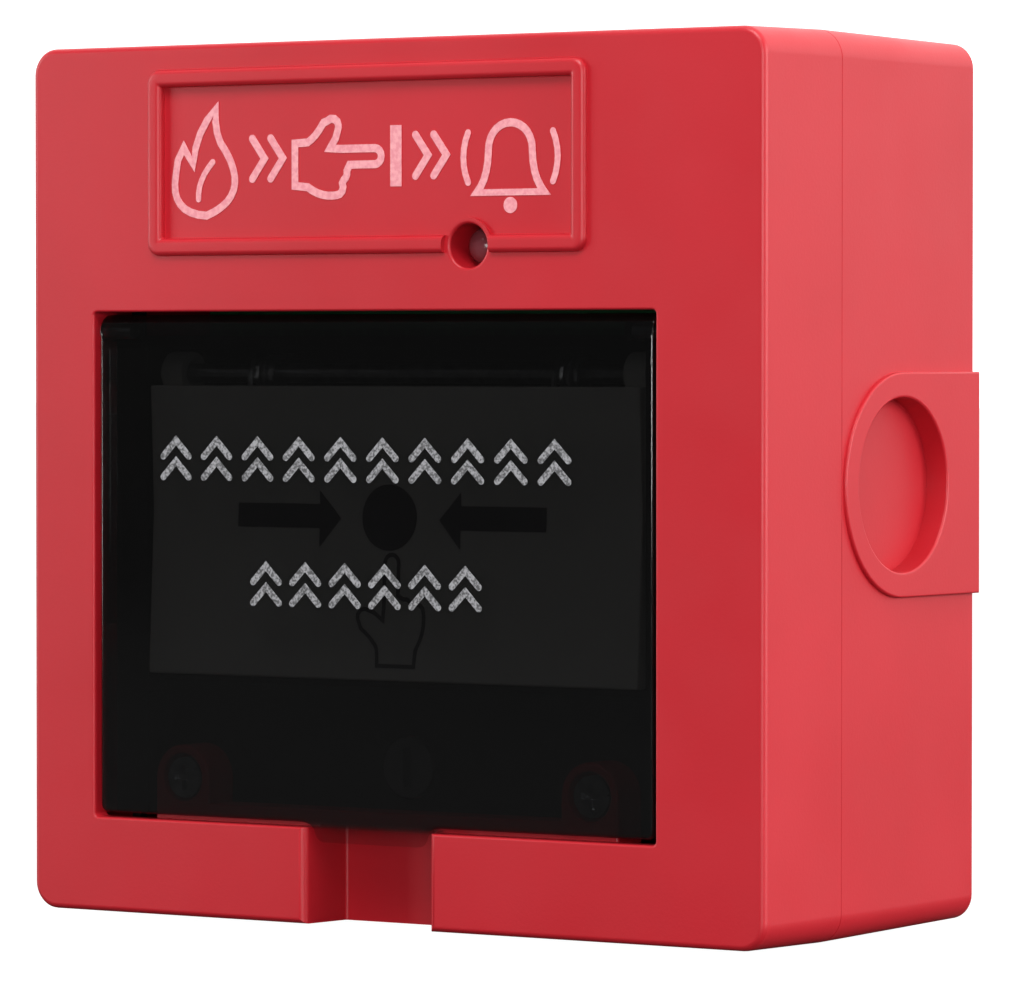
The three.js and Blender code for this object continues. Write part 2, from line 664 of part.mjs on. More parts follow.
fourCorners(EAR).forEach(([x, z], index) => {
  const size = { seat: TRAY.back + GAP, length: 8, shank: 1.1, head: 2, thick: 1.4, facing: 1 };
  addPiece(`tray_screw_${index + 1}`, screw({ x, z, ...size }), steel);
});
fourCorners(STANDOFF).forEach(([x, z], index) => {
  const size = { seat: BOARD.back + GAP, length: 5, shank: 1, head: 2, thick: 1.4, facing: 1 };
  addPiece(`board_screw_${index + 1}`, screw({ x, z, ...size }), steel);
});

export default callPoint;
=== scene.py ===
# %% [markdown]
# # Manual call point
# A red wall unit with a smoked flap that lifts over a press plate. The working model gives every
# piece its place and its motion. This lesson adds the surfaces: rounded mouldings, smoked clear
# plastic, printed signs and small metal parts. Everything is in metres, in the model's own frame:
# X runs to the right, Z up, and Y into the wall.

# %% Load the frame
import bpy
import bmesh
import math
from mathutils import Matrix, Vector


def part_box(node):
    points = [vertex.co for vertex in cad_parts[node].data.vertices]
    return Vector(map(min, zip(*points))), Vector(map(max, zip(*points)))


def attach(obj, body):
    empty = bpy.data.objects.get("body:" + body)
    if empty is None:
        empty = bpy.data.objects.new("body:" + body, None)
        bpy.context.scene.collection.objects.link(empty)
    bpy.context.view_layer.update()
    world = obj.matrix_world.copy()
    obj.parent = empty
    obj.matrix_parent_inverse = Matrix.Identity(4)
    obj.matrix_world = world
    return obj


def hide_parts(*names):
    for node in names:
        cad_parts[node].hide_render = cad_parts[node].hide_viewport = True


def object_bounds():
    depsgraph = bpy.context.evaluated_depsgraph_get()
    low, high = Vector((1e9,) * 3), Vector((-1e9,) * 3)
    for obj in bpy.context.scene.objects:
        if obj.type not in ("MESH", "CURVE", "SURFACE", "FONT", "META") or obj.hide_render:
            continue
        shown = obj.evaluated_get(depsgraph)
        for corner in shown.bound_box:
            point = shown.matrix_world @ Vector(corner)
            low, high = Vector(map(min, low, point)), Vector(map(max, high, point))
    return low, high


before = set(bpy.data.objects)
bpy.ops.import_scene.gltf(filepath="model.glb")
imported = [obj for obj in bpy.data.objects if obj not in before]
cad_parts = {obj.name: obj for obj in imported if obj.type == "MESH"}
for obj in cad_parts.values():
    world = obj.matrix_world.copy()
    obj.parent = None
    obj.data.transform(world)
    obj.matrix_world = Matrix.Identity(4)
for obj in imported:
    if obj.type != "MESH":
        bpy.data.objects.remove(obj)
cad_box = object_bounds()
MM = 0.001
print("size in mm:", [round(side / MM, 1) for side in cad_box[1] - cad_box[0]])

# %% [markdown]
# ## Where the features are
# The flap's box gives the line on which the window, the notch and the label are centred. The
# cover's box gives the front and the back box's gives the wall. The other sizes are the driving
# dimensions of the two mouldings, in millimetres: the square front, the wall thickness, the joint
# between cover and box, the window and the flap's hinge. Depth counts from the front to the wall.

# %% Places and sizes
flap_low, flap_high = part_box("flap")
cover_low, cover_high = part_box("front_cover")
box_low, box_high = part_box("back_box")

BAR_RISE = 0.7
FRONT = cover_low.y + BAR_RISE * MM
AX = (flap_low.x + flap_high.x) / 2 / MM

HALF_FRONT = 52.5
DEPTH = round((box_high.y - FRONT) / MM, 2)
SEAM = 16.5
WALL = 2.5
HALF_CAVITY = HALF_FRONT - WALL
CORNER = 3.2
WINDOW = {"half": 40.5, "bottom": -41, "top": 20.4}
HINGE = {"depth": 2.5, "z": 18, "bore": 1.2}
print("axis of the features:", round(AX, 2), "mm, depth from front to wall:", DEPTH, "mm")


def at(depth_mm):
    """The Y of a point this many millimetres behind the front face."""
    return FRONT + depth_mm * MM


# %% [markdown]
# ## Camera
# The unit is seen from the right and a little from above its middle, through a long lens, so that
# its edges hardly converge. The camera looks very slightly down.

# %% Camera
camera_data = bpy.data.cameras.new("camera")
camera_data.lens = 216.67
camera_data.sensor_width = 36
camera_data.clip_start = 0.05
camera_data.clip_end = 20
camera = bpy.data.objects.new("camera", camera_data)
bpy.context.scene.collection.objects.link(camera)
camera.location = (0.416695, FRONT - 0.593888, 0.015464)
camera.rotation_euler = (math.radians(90 - 1.3597), 0, math.radians(33.87))
bpy.context.scene.camera = camera
print("camera stands", round((camera.location - Vector((0, FRONT, 0))).length, 3), "m away")

# %% [markdown]
# ## Light around the unit
# A studio for small products: the background is white, so the unit's right side mirrors white,
# while the space on the camera's side is dim, so that the smoked flap stays dark. Cards and cloths
# would do this in a real studio. Here the world does it with the direction of the ray: white behind
# the unit, and a dark grey on the camera's side.

# %% World
world = bpy.data.worlds.new("studio")
world.use_nodes = True
bpy.context.scene.world = world
tree = world.node_tree
tree.nodes.clear()
direction = tree.nodes.new("ShaderNodeTexCoord")
direction.label = "direction of the ray"
direction.location = (-900, 0)
parts = tree.nodes.new("ShaderNodeSeparateXYZ")
parts.label = "its Y: to the wall or to the camera"
parts.location = (-700, 0)
dimming = tree.nodes.new("ShaderNodeMapRange")
dimming.label = "white behind, dim in front"
dimming.location = (-500, 0)
dimming.interpolation_type = "SMOOTHSTEP"
dimming.inputs["From Min"].default_value = -0.45
dimming.inputs["From Max"].default_value = 0.25
dimming.inputs["To Min"].default_value = 0.06
dimming.inputs["To Max"].default_value = 1.5
ray = tree.nodes.new("ShaderNodeLightPath")
ray.label = "seen directly?"
ray.location = (-500, 300)
strength = tree.nodes.new("ShaderNodeMath")
strength.label = "the backdrop itself is white"
strength.location = (-280, 100)
strength.operation = "MAXIMUM"
background = tree.nodes.new("ShaderNodeBackground")
background.label = "studio"
background.location = (-80, 0)
background.inputs["Color"].default_value = (1, 1, 1, 1)
output = tree.nodes.new("ShaderNodeOutputWorld")
output.location = (120, 0)
tree.links.new(direction.outputs["Generated"], parts.inputs["Vector"])
tree.links.new(parts.outputs["Y"], dimming.inputs["Value"])
tree.links.new(dimming.outputs["Result"], strength.inputs[0])
tree.links.new(ray.outputs["Is Camera Ray"], strength.inputs[1])
tree.links.new(strength.outputs["Value"], background.inputs["Strength"])
tree.links.new(background.outputs["Background"], output.inputs["Surface"])
bpy.context.scene.view_settings.view_transform = "Standard"
bpy.context.scene.view_settings.look = "None"

# %% [markdown]
# ## Lamps
# Four soft lamps stand on the left, above, on the right and near the camera. A large lamp close to
# a small unit gives soft edges to every shadow. The right one is the strongest, so the side comes
# out lighter than the front. All of them hang above the floor, which would hide a lower one.

# %% Lamps
def add_lamp(name, place, target, width, height, watts):
    data = bpy.data.lights.new(name, "AREA")
    data.shape = "RECTANGLE"
    data.size = width
    data.size_y = height
    data.energy = watts
    lamp = bpy.data.objects.new(name, data)
    bpy.context.scene.collection.objects.link(lamp)
    lamp.location = place
    lamp.rotation_euler = (Vector(target) - Vector(place)).to_track_quat("-Z", "Y").to_euler()
    return lamp


MIDDLE = (0, -0.03, 0)
add_lamp("soft_lamp_left", (-0.8, -0.5, 0.1), MIDDLE, 0.4, 0.5, 4)
add_lamp("soft_lamp_above", (0.1, -0.45, 0.6), MIDDLE, 0.4, 0.3, 4.5)
add_lamp("soft_lamp_right", (0.95, 0.1, 0.05), MIDDLE, 0.7, 0.8, 11)
add_lamp("soft_lamp_front", (0.33, -0.62, 0.06), MIDDLE, 0.3, 0.16, 1.9)

# %% [markdown]
# ## Floor
# A plain floor just under the unit. To the camera it glows white, as an overexposed table does, so
# that it runs into the white background without a line. To every other ray it is a dark matt
# paint, so that it doesn't light the unit's underside.

# %% Floor
FLOOR_DROP = 0.4 * MM
floor_mesh = bpy.data.meshes.new("floor")
half_floor = 6
floor_height = cad_box[0].z - FLOOR_DROP
four_corners = ((-1, -1), (1, -1), (1, 1), (-1, 1))
floor_corners = [(x * half_floor, y * half_floor, floor_height) for x, y in four_corners]
floor_mesh.from_pydata(floor_corners, [], [(0, 1, 2, 3)])
floor = bpy.data.objects.new("floor", floor_mesh)
bpy.context.scene.collection.objects.link(floor)

floor_paint = bpy.data.materials.new("pale_floor")
floor_paint.use_nodes = True
tree = floor_paint.node_tree
tree.nodes.clear()
floor_ray = tree.nodes.new("ShaderNodeLightPath")
floor_ray.label = "seen directly?"
floor_ray.location = (-300, 0)
floor_shader = tree.nodes.new("ShaderNodeBsdfPrincipled")
floor_shader.label = "dark matt paint that glows"
floor_shader.location = (-80, 0)
floor_shader.inputs["Base Color"].default_value = (0.06, 0.06, 0.06, 1)
floor_shader.inputs["Roughness"].default_value = 0.9
floor_shader.inputs["Specular IOR Level"].default_value = 0.1
floor_shader.inputs["Emission Color"].default_value = (1, 1, 1, 1)
floor_output = tree.nodes.new("ShaderNodeOutputMaterial")
floor_output.location = (220, 0)
tree.links.new(floor_ray.outputs["Is Camera Ray"], floor_shader.inputs["Emission Strength"])
tree.links.new(floor_shader.outputs["BSDF"], floor_output.inputs["Surface"])
floor_mesh.materials.append(floor_paint)
print("floor at", round(floor_height / MM, 2), "mm")


# %% [markdown]
# ## Moulded plastic
# The housing, the tray, the plate and the small plastic parts are all injection moulded. Such a
# surface has three things to see: a colour that is almost even, with faint flow marks; a fine grain
# from the spark-eroded mould, which is a bump a fraction of a millimetre across; and a gloss that
# changes a little from place to place where hands have polished it. One function makes them all,
# with the colour, the gloss and the grain as arguments.

# %% Moulded plastic
def moulded_plastic(name, colour, flow_colour, gloss, grain_size_mm, grain_depth, shine=0.5):
    material = bpy.data.materials.new(name)
    material.use_nodes = True
    tree = material.node_tree
    tree.nodes.clear()

    colour_frame = tree.nodes.new("NodeFrame")
    colour_frame.label = "colour and flow marks"
    gloss_frame = tree.nodes.new("NodeFrame")
    gloss_frame.label = "handled gloss"
    relief_frame = tree.nodes.new("NodeFrame")
    relief_frame.label = "mould grain"

    place = tree.nodes.new("ShaderNodeTexCoord")
    place.label = "place on the piece"
    place.location = (-1100, 0)

    flow = tree.nodes.new("ShaderNodeTexNoise")
    flow.label = "slow flow marks"
    flow.location = (-800, 300)
    flow.parent = colour_frame
    flow.inputs["Scale"].default_value = 38
    flow.inputs["Detail"].default_value = 3
    tint = tree.nodes.new("ShaderNodeValToRGB")
    tint.label = "base and flow colour"
    tint.location = (-560, 300)
    tint.parent = colour_frame
    tint.color_ramp.elements[0].position = 0.3
    tint.color_ramp.elements[0].color = (*flow_colour, 1)
    tint.color_ramp.elements[1].position = 0.7
    tint.color_ramp.elements[1].color = (*colour, 1)

    handling = tree.nodes.new("ShaderNodeTexNoise")
    handling.label = "where it was handled"
    handling.location = (-800, 0)
    handling.parent = gloss_frame
    handling.inputs["Scale"].default_value = 90
    handling.inputs["Detail"].default_value = 4
    polish = tree.nodes.new("ShaderNodeMapRange")
    polish.label = "gloss from place to place"
    polish.location = (-560, 0)
    polish.parent = gloss_frame
    polish.inputs["From Min"].default_value = 0.25
    polish.inputs["From Max"].default_value = 0.75
    polish.inputs["To Min"].default_value = gloss - 0.04
    polish.inputs["To Max"].default_value = gloss + 0.05

    grain = tree.nodes.new("ShaderNodeTexNoise")
    grain.label = "fine grain"
    grain.location = (-800, -300)
    grain.parent = relief_frame
    grain.inputs["Scale"].default_value = 1 / (grain_size_mm * MM)
    grain.inputs["Detail"].default_value = 2
    grain.inputs["Roughness"].default_value = 0.6
    bump = tree.nodes.new("ShaderNodeBump")
    bump.label = "grain relief"
    bump.location = (-560, -300)
    bump.parent = relief_frame
    bump.inputs["Strength"].default_value = grain_depth
    bump.inputs["Distance"].default_value = 0.02 * MM

    shader = tree.nodes.new("ShaderNodeBsdfPrincipled")
    shader.label = "plastic"
    shader.location = (-200, 100)
    shader.inputs["IOR"].default_value = 1.49
    shader.inputs["Specular IOR Level"].default_value = shine
    output = tree.nodes.new("ShaderNodeOutputMaterial")
    output.location = (120, 100)

    tree.links.new(place.outputs["Object"], flow.inputs["Vector"])
    tree.links.new(place.outputs["Object"], handling.inputs["Vector"])
    tree.links.new(place.outputs["Object"], grain.inputs["Vector"])
    tree.links.new(flow.outputs["Fac"], tint.inputs["Fac"])
    tree.links.new(tint.outputs["Color"], shader.inputs["Base Color"])
    tree.links.new(handling.outputs["Fac"], polish.inputs["Value"])
    tree.links.new(polish.outputs["Result"], shader.inputs["Roughness"])
    tree.links.new(grain.outputs["Fac"], bump.inputs["Height"])
    tree.links.new(bump.outputs["Normal"], shader.inputs["Normal"])
    tree.links.new(shader.outputs["BSDF"], output.inputs["Surface"])
    return material


RED, RED_FLOW = (0.50, 0.010, 0.020), (0.46, 0.008, 0.016)
BLACK, BLACK_FLOW = (0.008, 0.008, 0.0085), (0.006, 0.006, 0.0065)
WHITE, WHITE_FLOW = (0.74, 0.73, 0.70), (0.68, 0.67, 0.64)
GREY, GREY_FLOW = (0.10, 0.105, 0.11), (0.085, 0.09, 0.095)
GREEN, GREEN_FLOW = (0.03, 0.22, 0.08), (0.025, 0.18, 0.065)
red_plastic = moulded_plastic("red_plastic", RED, RED_FLOW, 0.42, 0.38, 0.6)
black_plastic = moulded_plastic("black_plastic", BLACK, BLACK_FLOW, 0.5, 0.25, 0.5, 0.35)
white_plastic = moulded_plastic("white_plastic", WHITE, WHITE_FLOW, 0.35, 0.4, 0.2)
grey_plastic = moulded_plastic("grey_plastic", GREY, GREY_FLOW, 0.4, 0.3, 0.3)
green_plastic = moulded_plastic("green_plastic", GREEN, GREEN_FLOW, 0.38, 0.3, 0.3)
print("plastics:", [m.name for m in bpy.data.materials if m.name.endswith("_plastic")])

# %% [markdown]
# ## Smoked clear plastic
# The flap is clear plastic with a dark tint. What is behind it shows faintly, and its surface is
# smooth and glossy. A glass shader could bend the light through it, but a sheet this thin hardly
# bends anything, so the surface lets part of the light straight through and mirrors the rest. Each
# pass goes through two faces. The finger tab is much thinner than the sheet, so it is clearer.

# %% Smoked clear plastic
smoked_plastic = bpy.data.materials.new("smoked_plastic")
smoked_plastic.use_nodes = True
tree = smoked_plastic.node_tree
tree.nodes.clear()
clear_frame = tree.nodes.new("NodeFrame")
clear_frame.label = "how dark the tint is"
wipe_frame = tree.nodes.new("NodeFrame")
wipe_frame.label = "fine scratches and wiping marks"
place = tree.nodes.new("ShaderNodeTexCoord")
place.label = "place on the flap"
place.location = (-1100, 0)
height = tree.nodes.new("ShaderNodeSeparateXYZ")
height.label = "height on the flap"
height.location = (-860, 300)
height.parent = clear_frame
thickness = tree.nodes.new("ShaderNodeMapRange")
thickness.label = "thin tab, thick sheet"
thickness.location = (-620, 300)
thickness.parent = clear_frame
thickness.inputs["From Min"].default_value = (WINDOW["bottom"] - 0.2) * MM
thickness.inputs["From Max"].default_value = (WINDOW["bottom"] + 0.5) * MM
thickness.inputs["To Min"].default_value = 0.12
thickness.inputs["To Max"].default_value = 0.69
wiping = tree.nodes.new("ShaderNodeTexNoise")
wiping.label = "wiping marks"
wiping.location = (-860, -100)
wiping.parent = wipe_frame
wiping.inputs["Scale"].default_value = 140
wiping.inputs["Detail"].default_value = 6
wiping.inputs["Distortion"].default_value = 0.6
haze = tree.nodes.new("ShaderNodeMapRange")
haze.label = "gloss"
haze.location = (-620, -100)
haze.parent = wipe_frame
haze.inputs["To Min"].default_value = 0.05
haze.inputs["To Max"].default_value = 0.13
shader = tree.nodes.new("ShaderNodeBsdfPrincipled")
shader.label = "smoked plastic"
shader.location = (-260, 100)
shader.inputs["Base Color"].default_value = (0.002, 0.002, 0.002, 1)
shader.inputs["IOR"].default_value = 1.49
output = tree.nodes.new("ShaderNodeOutputMaterial")
output.location = (60, 100)
tree.links.new(place.outputs["Object"], height.inputs["Vector"])
tree.links.new(height.outputs["Z"], thickness.inputs["Value"])
tree.links.new(thickness.outputs["Result"], shader.inputs["Alpha"])
tree.links.new(place.outputs["Object"], wiping.inputs["Vector"])
tree.links.new(wiping.outputs["Fac"], haze.inputs["Value"])
tree.links.new(haze.outputs["Result"], shader.inputs["Roughness"])
tree.links.new(shader.outputs["BSDF"], output.inputs["Surface"])


# %% [markdown]
# ## Metal
# Screws, pins, springs and the pivot rod are zinc-plated steel, and the threaded inserts are brass.
# Turned and plated parts show fine lines round their axis and small dull spots. The lines are a
# stretched noise that drives the roughness and a faint bump.

# %% Metal
def plated_metal(name, colour, stain, gloss, line_scale):
    material = bpy.data.materials.new(name)
    material.use_nodes = True
    tree = material.node_tree
    tree.nodes.clear()
    stain_frame = tree.nodes.new("NodeFrame")
    stain_frame.label = "dull spots"
    line_frame = tree.nodes.new("NodeFrame")
    line_frame.label = "turning lines"
    place = tree.nodes.new("ShaderNodeTexCoord")
    place.label = "place on the piece"
    place.location = (-1100, 0)
    spots = tree.nodes.new("ShaderNodeTexNoise")
    spots.label = "dull spots"
    spots.location = (-640, 300)
    spots.parent = stain_frame
    spots.inputs["Scale"].default_value = 700
    spots.inputs["Detail"].default_value = 4
    tint = tree.nodes.new("ShaderNodeValToRGB")
    tint.label = "plating colour"
    tint.location = (-420, 300)
    tint.parent = stain_frame
    tint.color_ramp.elements[0].position = 0.35
    tint.color_ramp.elements[0].color = (*stain, 1)
    tint.color_ramp.elements[1].position = 0.6
    tint.color_ramp.elements[1].color = (*colour, 1)
    stretch = tree.nodes.new("ShaderNodeMapping")
    stretch.label = "lines across the depth"
    stretch.location = (-880, -100)
    stretch.parent = line_frame
    stretch.inputs["Scale"].default_value = (0.15, 1.0, 0.15)
    lines = tree.nodes.new("ShaderNodeTexNoise")
    lines.label = "turning lines"
    lines.location = (-640, -100)
    lines.parent = line_frame
    lines.inputs["Scale"].default_value = line_scale
    lines.inputs["Detail"].default_value = 2
    shine = tree.nodes.new("ShaderNodeMapRange")
    shine.label = "gloss of the lines"
    shine.location = (-420, -20)
    shine.parent = line_frame
    shine.inputs["To Min"].default_value = gloss - 0.08
    shine.inputs["To Max"].default_value = gloss + 0.12
    bump = tree.nodes.new("ShaderNodeBump")
    bump.label = "depth of the lines"
    bump.location = (-420, -260)
    bump.parent = line_frame
    bump.inputs["Strength"].default_value = 0.25
    bump.inputs["Distance"].default_value = 0.01 * MM
    shader = tree.nodes.new("ShaderNodeBsdfPrincipled")
    shader.label = "metal"
    shader.location = (-140, 100)
    shader.inputs["Metallic"].default_value = 1.0
    output = tree.nodes.new("ShaderNodeOutputMaterial")
    output.location = (160, 100)
    tree.links.new(place.outputs["Object"], spots.inputs["Vector"])
    tree.links.new(place.outputs["Object"], stretch.inputs["Vector"])
    tree.links.new(stretch.outputs["Vector"], lines.inputs["Vector"])
    tree.links.new(spots.outputs["Fac"], tint.inputs["Fac"])
    tree.links.new(tint.outputs["Color"], shader.inputs["Base Color"])
    tree.links.new(lines.outputs["Fac"], shine.inputs["Value"])
    tree.links.new(shine.outputs["Result"], shader.inputs["Roughness"])
    tree.links.new(lines.outputs["Fac"], bump.inputs["Height"])
    tree.links.new(bump.outputs["Normal"], shader.inputs["Normal"])
    tree.links.new(shader.outputs["BSDF"], output.inputs["Surface"])
    return material


zinc_steel = plated_metal("zinc_steel", (0.60, 0.61, 0.63), (0.42, 0.43, 0.45), 0.3, 6000)
brass = plated_metal("brass", (0.68, 0.47, 0.17), (0.5, 0.33, 0.11), 0.28, 6000)


# %% [markdown]
# ## Paint and ink
# The label on the cover, the signs on the plate and the marks on the flap are printed films a few
# hundredths of a millimetre thick. A print is never quite even: it has pinholes and small thick
# spots, which a fine noise gives to the colour and to the gloss. The marks on the flap are frosted
# and sparkle a little, so their colour gets a coarser and stronger noise of light and dark grains,
# partly uneven ink and partly painted sparkle.

# %% Paint and ink
def printed_film(name, colour, thin_colour, speckle_size_mm, spread, gloss):
    material = bpy.data.materials.new(name)
    material.use_nodes = True
    tree = material.node_tree
    tree.nodes.clear()
    speckle_frame = tree.nodes.new("NodeFrame")
    speckle_frame.label = "speckled print"
    place = tree.nodes.new("ShaderNodeTexCoord")
    place.label = "place on the print"
    place.location = (-900, 0)
    # On the frosted marks this noise also paints sparkle into the colour.
    speckle = tree.nodes.new("ShaderNodeTexNoise")
    speckle.label = "pinholes and thick spots"
    speckle.location = (-680, 0)
    speckle.parent = speckle_frame
    speckle.inputs["Scale"].default_value = 1 / (speckle_size_mm * MM)
    speckle.inputs["Detail"].default_value = 3
    cover = tree.nodes.new("ShaderNodeValToRGB")
    cover.label = "how well the ink covers"
    cover.location = (-460, 60)
    cover.parent = speckle_frame
    cover.color_ramp.elements[0].position = 0.5 - spread
    cover.color_ramp.elements[0].color = (*thin_colour, 1)
    cover.color_ramp.elements[1].position = 0.5 + spread
    cover.color_ramp.elements[1].color = (*colour, 1)
    bump = tree.nodes.new("ShaderNodeBump")
    bump.label = "uneven film"
    bump.location = (-460, -220)
    bump.parent = speckle_frame
    bump.inputs["Strength"].default_value = 0.3
    bump.inputs["Distance"].default_value = 0.02 * MM
    shader = tree.nodes.new("ShaderNodeBsdfPrincipled")
    shader.label = "ink"
    shader.location = (-160, 60)
    shader.inputs["Roughness"].default_value = gloss
    output = tree.nodes.new("ShaderNodeOutputMaterial")
    output.location = (140, 60)
    tree.links.new(place.outputs["Object"], speckle.inputs["Vector"])
    tree.links.new(speckle.outputs["Fac"], cover.inputs["Fac"])
    tree.links.new(speckle.outputs["Fac"], bump.inputs["Height"])
    tree.links.new(cover.outputs["Color"], shader.inputs["Base Color"])
    tree.links.new(bump.outputs["Normal"], shader.inputs["Normal"])
    tree.links.new(shader.outputs["BSDF"], output.inputs["Surface"])
    return material


label_paint = printed_film("label_paint", (0.84, 0.36, 0.39), (0.76, 0.26, 0.30), 0.5, 0.12, 0.5)
plate_ink = printed_film("plate_ink", (0.02, 0.012, 0.025), (0.04, 0.028, 0.045), 0.4, 0.15, 0.45)
# Frosted marks: their light and dark grains are uneven ink and painted sparkle.
frosted_paint = printed_film("frosted_paint", (0.34, 0.34, 0.355), (0.07, 0.07, 0.073), 0.3, 0.1, 0.5)

# %% [markdown]
# ## Shapes from outlines
# A moulding is mostly an outline carried straight back from the front, with its edges rounded. So a
# body here is a stack of closed rings that all have the same number of points: faces join each ring
# to the next, and one face closes each end. In these helpers sizes are in millimetres, an outline
# runs anticlockwise, and depth counts from the front face towards the wall.

# %% Outlines
ROUND_STEPS = 4


def arc(centre_x, centre_z, radius, start, sweep, steps):
    angles = [math.radians(start + sweep * i / steps) for i in range(steps + 1)]
    return [(centre_x + radius * math.cos(a), centre_z + radius * math.sin(a)) for a in angles]


def circle(centre_x, centre_z, radius, steps=48):
    return arc(centre_x, centre_z, radius, 0, 360, steps)[:-1]


def rounded(x0, x1, z0, z1, radius, steps=10):
    outline = arc(x1 - radius, z1 - radius, radius, 0, 90, steps)
    outline += arc(x0 + radius, z1 - radius, radius, 90, 90, steps)
    outline += arc(x0 + radius, z0 + radius, radius, 180, 90, steps)
    outline += arc(x1 - radius, z0 + radius, radius, 270, 90, steps)
    return outline


def curve_between(start, pull, end, steps=6):
    """Points of a curve from start to end that is pulled towards a third point."""
    points = []
    for i in range(steps + 1):
        t = i / steps
        shares = ((1 - t) ** 2, 2 * t * (1 - t), t * t)
        points.append(tuple(sum(s * v for s, v in zip(shares, values)) for values in zip(start, pull, end)))
    return points


def drawn_in(outline, distance):
    """The outline moved inwards by a distance, or outwards by a negative one."""
    moved = []
    for i, point in enumerate(outline):
        here = Vector(point)
        arriving = (here - Vector(outline[i - 1])).normalized()
        leaving = (Vector(outline[(i + 1) % len(outline)]) - here).normalized()
        inward = Vector((-arriving.y - leaving.y, arriving.x + leaving.x)).normalized()
        moved.append(here + inward * distance / inward.dot(Vector((-arriving.y, arriving.x))))
    return moved


def rounding(radius):
    """How far an outline is drawn in, and how far along it lies, at each step of a rounded edge."""
    if radius == 0:
        return [(0, 0)]
    angles = [math.radians(90 * i / ROUND_STEPS) for i in range(ROUND_STEPS + 1)]
    return [(radius * (1 - math.sin(a)), radius * (1 - math.cos(a))) for a in angles]


print("a rounded square has", len(rounded(0, 1, 0, 1, 0.2)), "points")

# %% [markdown]
# ## From outlines to bodies
# An outline becomes a ring when it gets a depth. It can face the front, a side or upwards. A slab
# is a stack of the same outline from start to end, drawn in step by step where an edge is rounded.
# A hole is the body that is cut away: it widens towards the face, which leaves a rounded lip.

# %% Rings and stacks
def facing_front(outline, depth):
    return [(x, depth, z) for x, z in outline]


def facing_side(outline, x):
    return [(x, depth, z) for depth, z in outline]


def facing_up(outline, z):
    return [(x, depth, z) for x, depth in outline]


def stack(name, rings, endless=False):
    """A closed body through rings with the same number of points."""
    shape = bmesh.new()
    loops = [[shape.verts.new((x * MM, at(depth), z * MM)) for x, depth, z in ring] for ring in rings]
    following = loops[1:] + loops[:1] if endless else loops[1:]
    for loop, after in zip(loops, following):
        for i in range(len(loop)):
            shape.faces.new((loop[i - 1], loop[i], after[i], after[i - 1]))
    if not endless:
        shape.faces.new(loops[0])
        shape.faces.new(loops[-1])
    bmesh.ops.recalc_face_normals(shape, faces=shape.faces)
    return piece_from(name, shape)


def piece_from(name, shape):
    mesh = bpy.data.meshes.new(name)
    shape.to_mesh(mesh)
    shape.free()
    piece = bpy.data.objects.new(name, mesh)
    bpy.context.scene.collection.objects.link(piece)
    return piece


def slab(name, outline, start, end, start_round=0, end_round=0, turn=facing_front):
    """An outline carried from start to end, with its edges rounded at both ends."""
    way = 1 if end > start else -1
    rings = [turn(drawn_in(outline, inset), start + way * drop) for inset, drop in rounding(start_round)]
    last_edge = reversed(rounding(end_round))
    rings += [turn(drawn_in(outline, inset), end - way * drop) for inset, drop in last_edge]
    return stack(name, rings)


def hole(outline, face, end, lip=0, turn=facing_front):
    """What is cut away for a hole from a face down to end, which leaves a rounded lip at the face."""
    way = 1 if end > face else -1
    rings = [turn(drawn_in(outline, -lip), face - 2 * way)]
    rings += [turn(drawn_in(outline, -inset), face + way * drop) for inset, drop in rounding(lip)]
    rings += [turn(outline, end)]
    return stack("hole", rings)


def block(x0, x1, depth0, depth1, z0, z1, edge=0):
    outline = [(x0, z0), (x1, z0), (x1, z1), (x0, z1)]
    return slab("block", outline, depth0, depth1, edge, edge)


def post(x, z, radius, depth0, depth1, edge=0, steps=32):
    return slab("post", circle(x, z, radius, steps), depth0, depth1, edge, edge)


def rod(name, x0, x1, depth, z, radius, edge=0, steps=32):
    return slab(name, circle(depth, z, radius, steps), x0, x1, edge, edge, facing_side)


# %% [markdown]
# ## Joining and cutting
# Bosses are joined to a moulding and holes are cut out of it with Boolean modifiers. They are
# settled into the mesh at once, so that the helper bodies can go. The faces are then shaded smooth
# up to a certain angle, and the normals are weighted by face area, which keeps the big flat faces
# flat next to their rounded edges.

# %% Joining, cutting and dressing
def settle(piece):
    """Turns the modifiers of a piece into its mesh."""
    graph = bpy.context.evaluated_depsgraph_get()
    settled = bpy.data.meshes.new_from_object(piece.evaluated_get(graph))
    piece.modifiers.clear()
    piece.data = settled
    return piece


def combine(piece, operation, tools):
    for tool in tools:
        boolean = piece.modifiers.new("boolean", "BOOLEAN")
        boolean.operation = operation
        boolean.solver = "EXACT"
        boolean.object = tool
    settle(piece)
    for tool in tools:
        bpy.data.objects.remove(tool)
    return piece


def joined(piece, *bosses):
    return combine(piece, "UNION", bosses)


def cut(piece, *holes):
    return combine(piece, "DIFFERENCE", holes)


def dress(piece, body, slot, material, *nodes, smooth_to=32):
    """Gives a piece its finish, shading and body, and hides the nodes that it stands for."""
    piece.data.materials.clear()
    piece.data.materials.append(material)
    piece.data.shade_smooth()
    piece.data.set_sharp_from_angle(angle=math.radians(smooth_to))
    normals = piece.modifiers.new("weighted normals", "WEIGHTED_NORMAL")
    normals.keep_sharp = True
    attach(piece, body)
    if nodes:
        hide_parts(*nodes)
    print(piece.name, "on", body, "with", len(piece.data.polygons), "faces")
    return piece


# %% [markdown]
# ## Front cover
# The cover is a square tray with its open side to the wall. Its front edge is rounded all round, and
# its sides lean out a little so that it leaves the mould. The rings start at the front face, go
# round the edge, back along the wall, over the rim and forward again inside.

# %% Front cover shell
RIM_GAP = 0.02
RIM_EDGE = 0.08
RIM = SEAM - RIM_GAP
FRONT_EDGE = 0.75
SPREAD = 0.25
SIDE_LEAN = SPREAD / SEAM

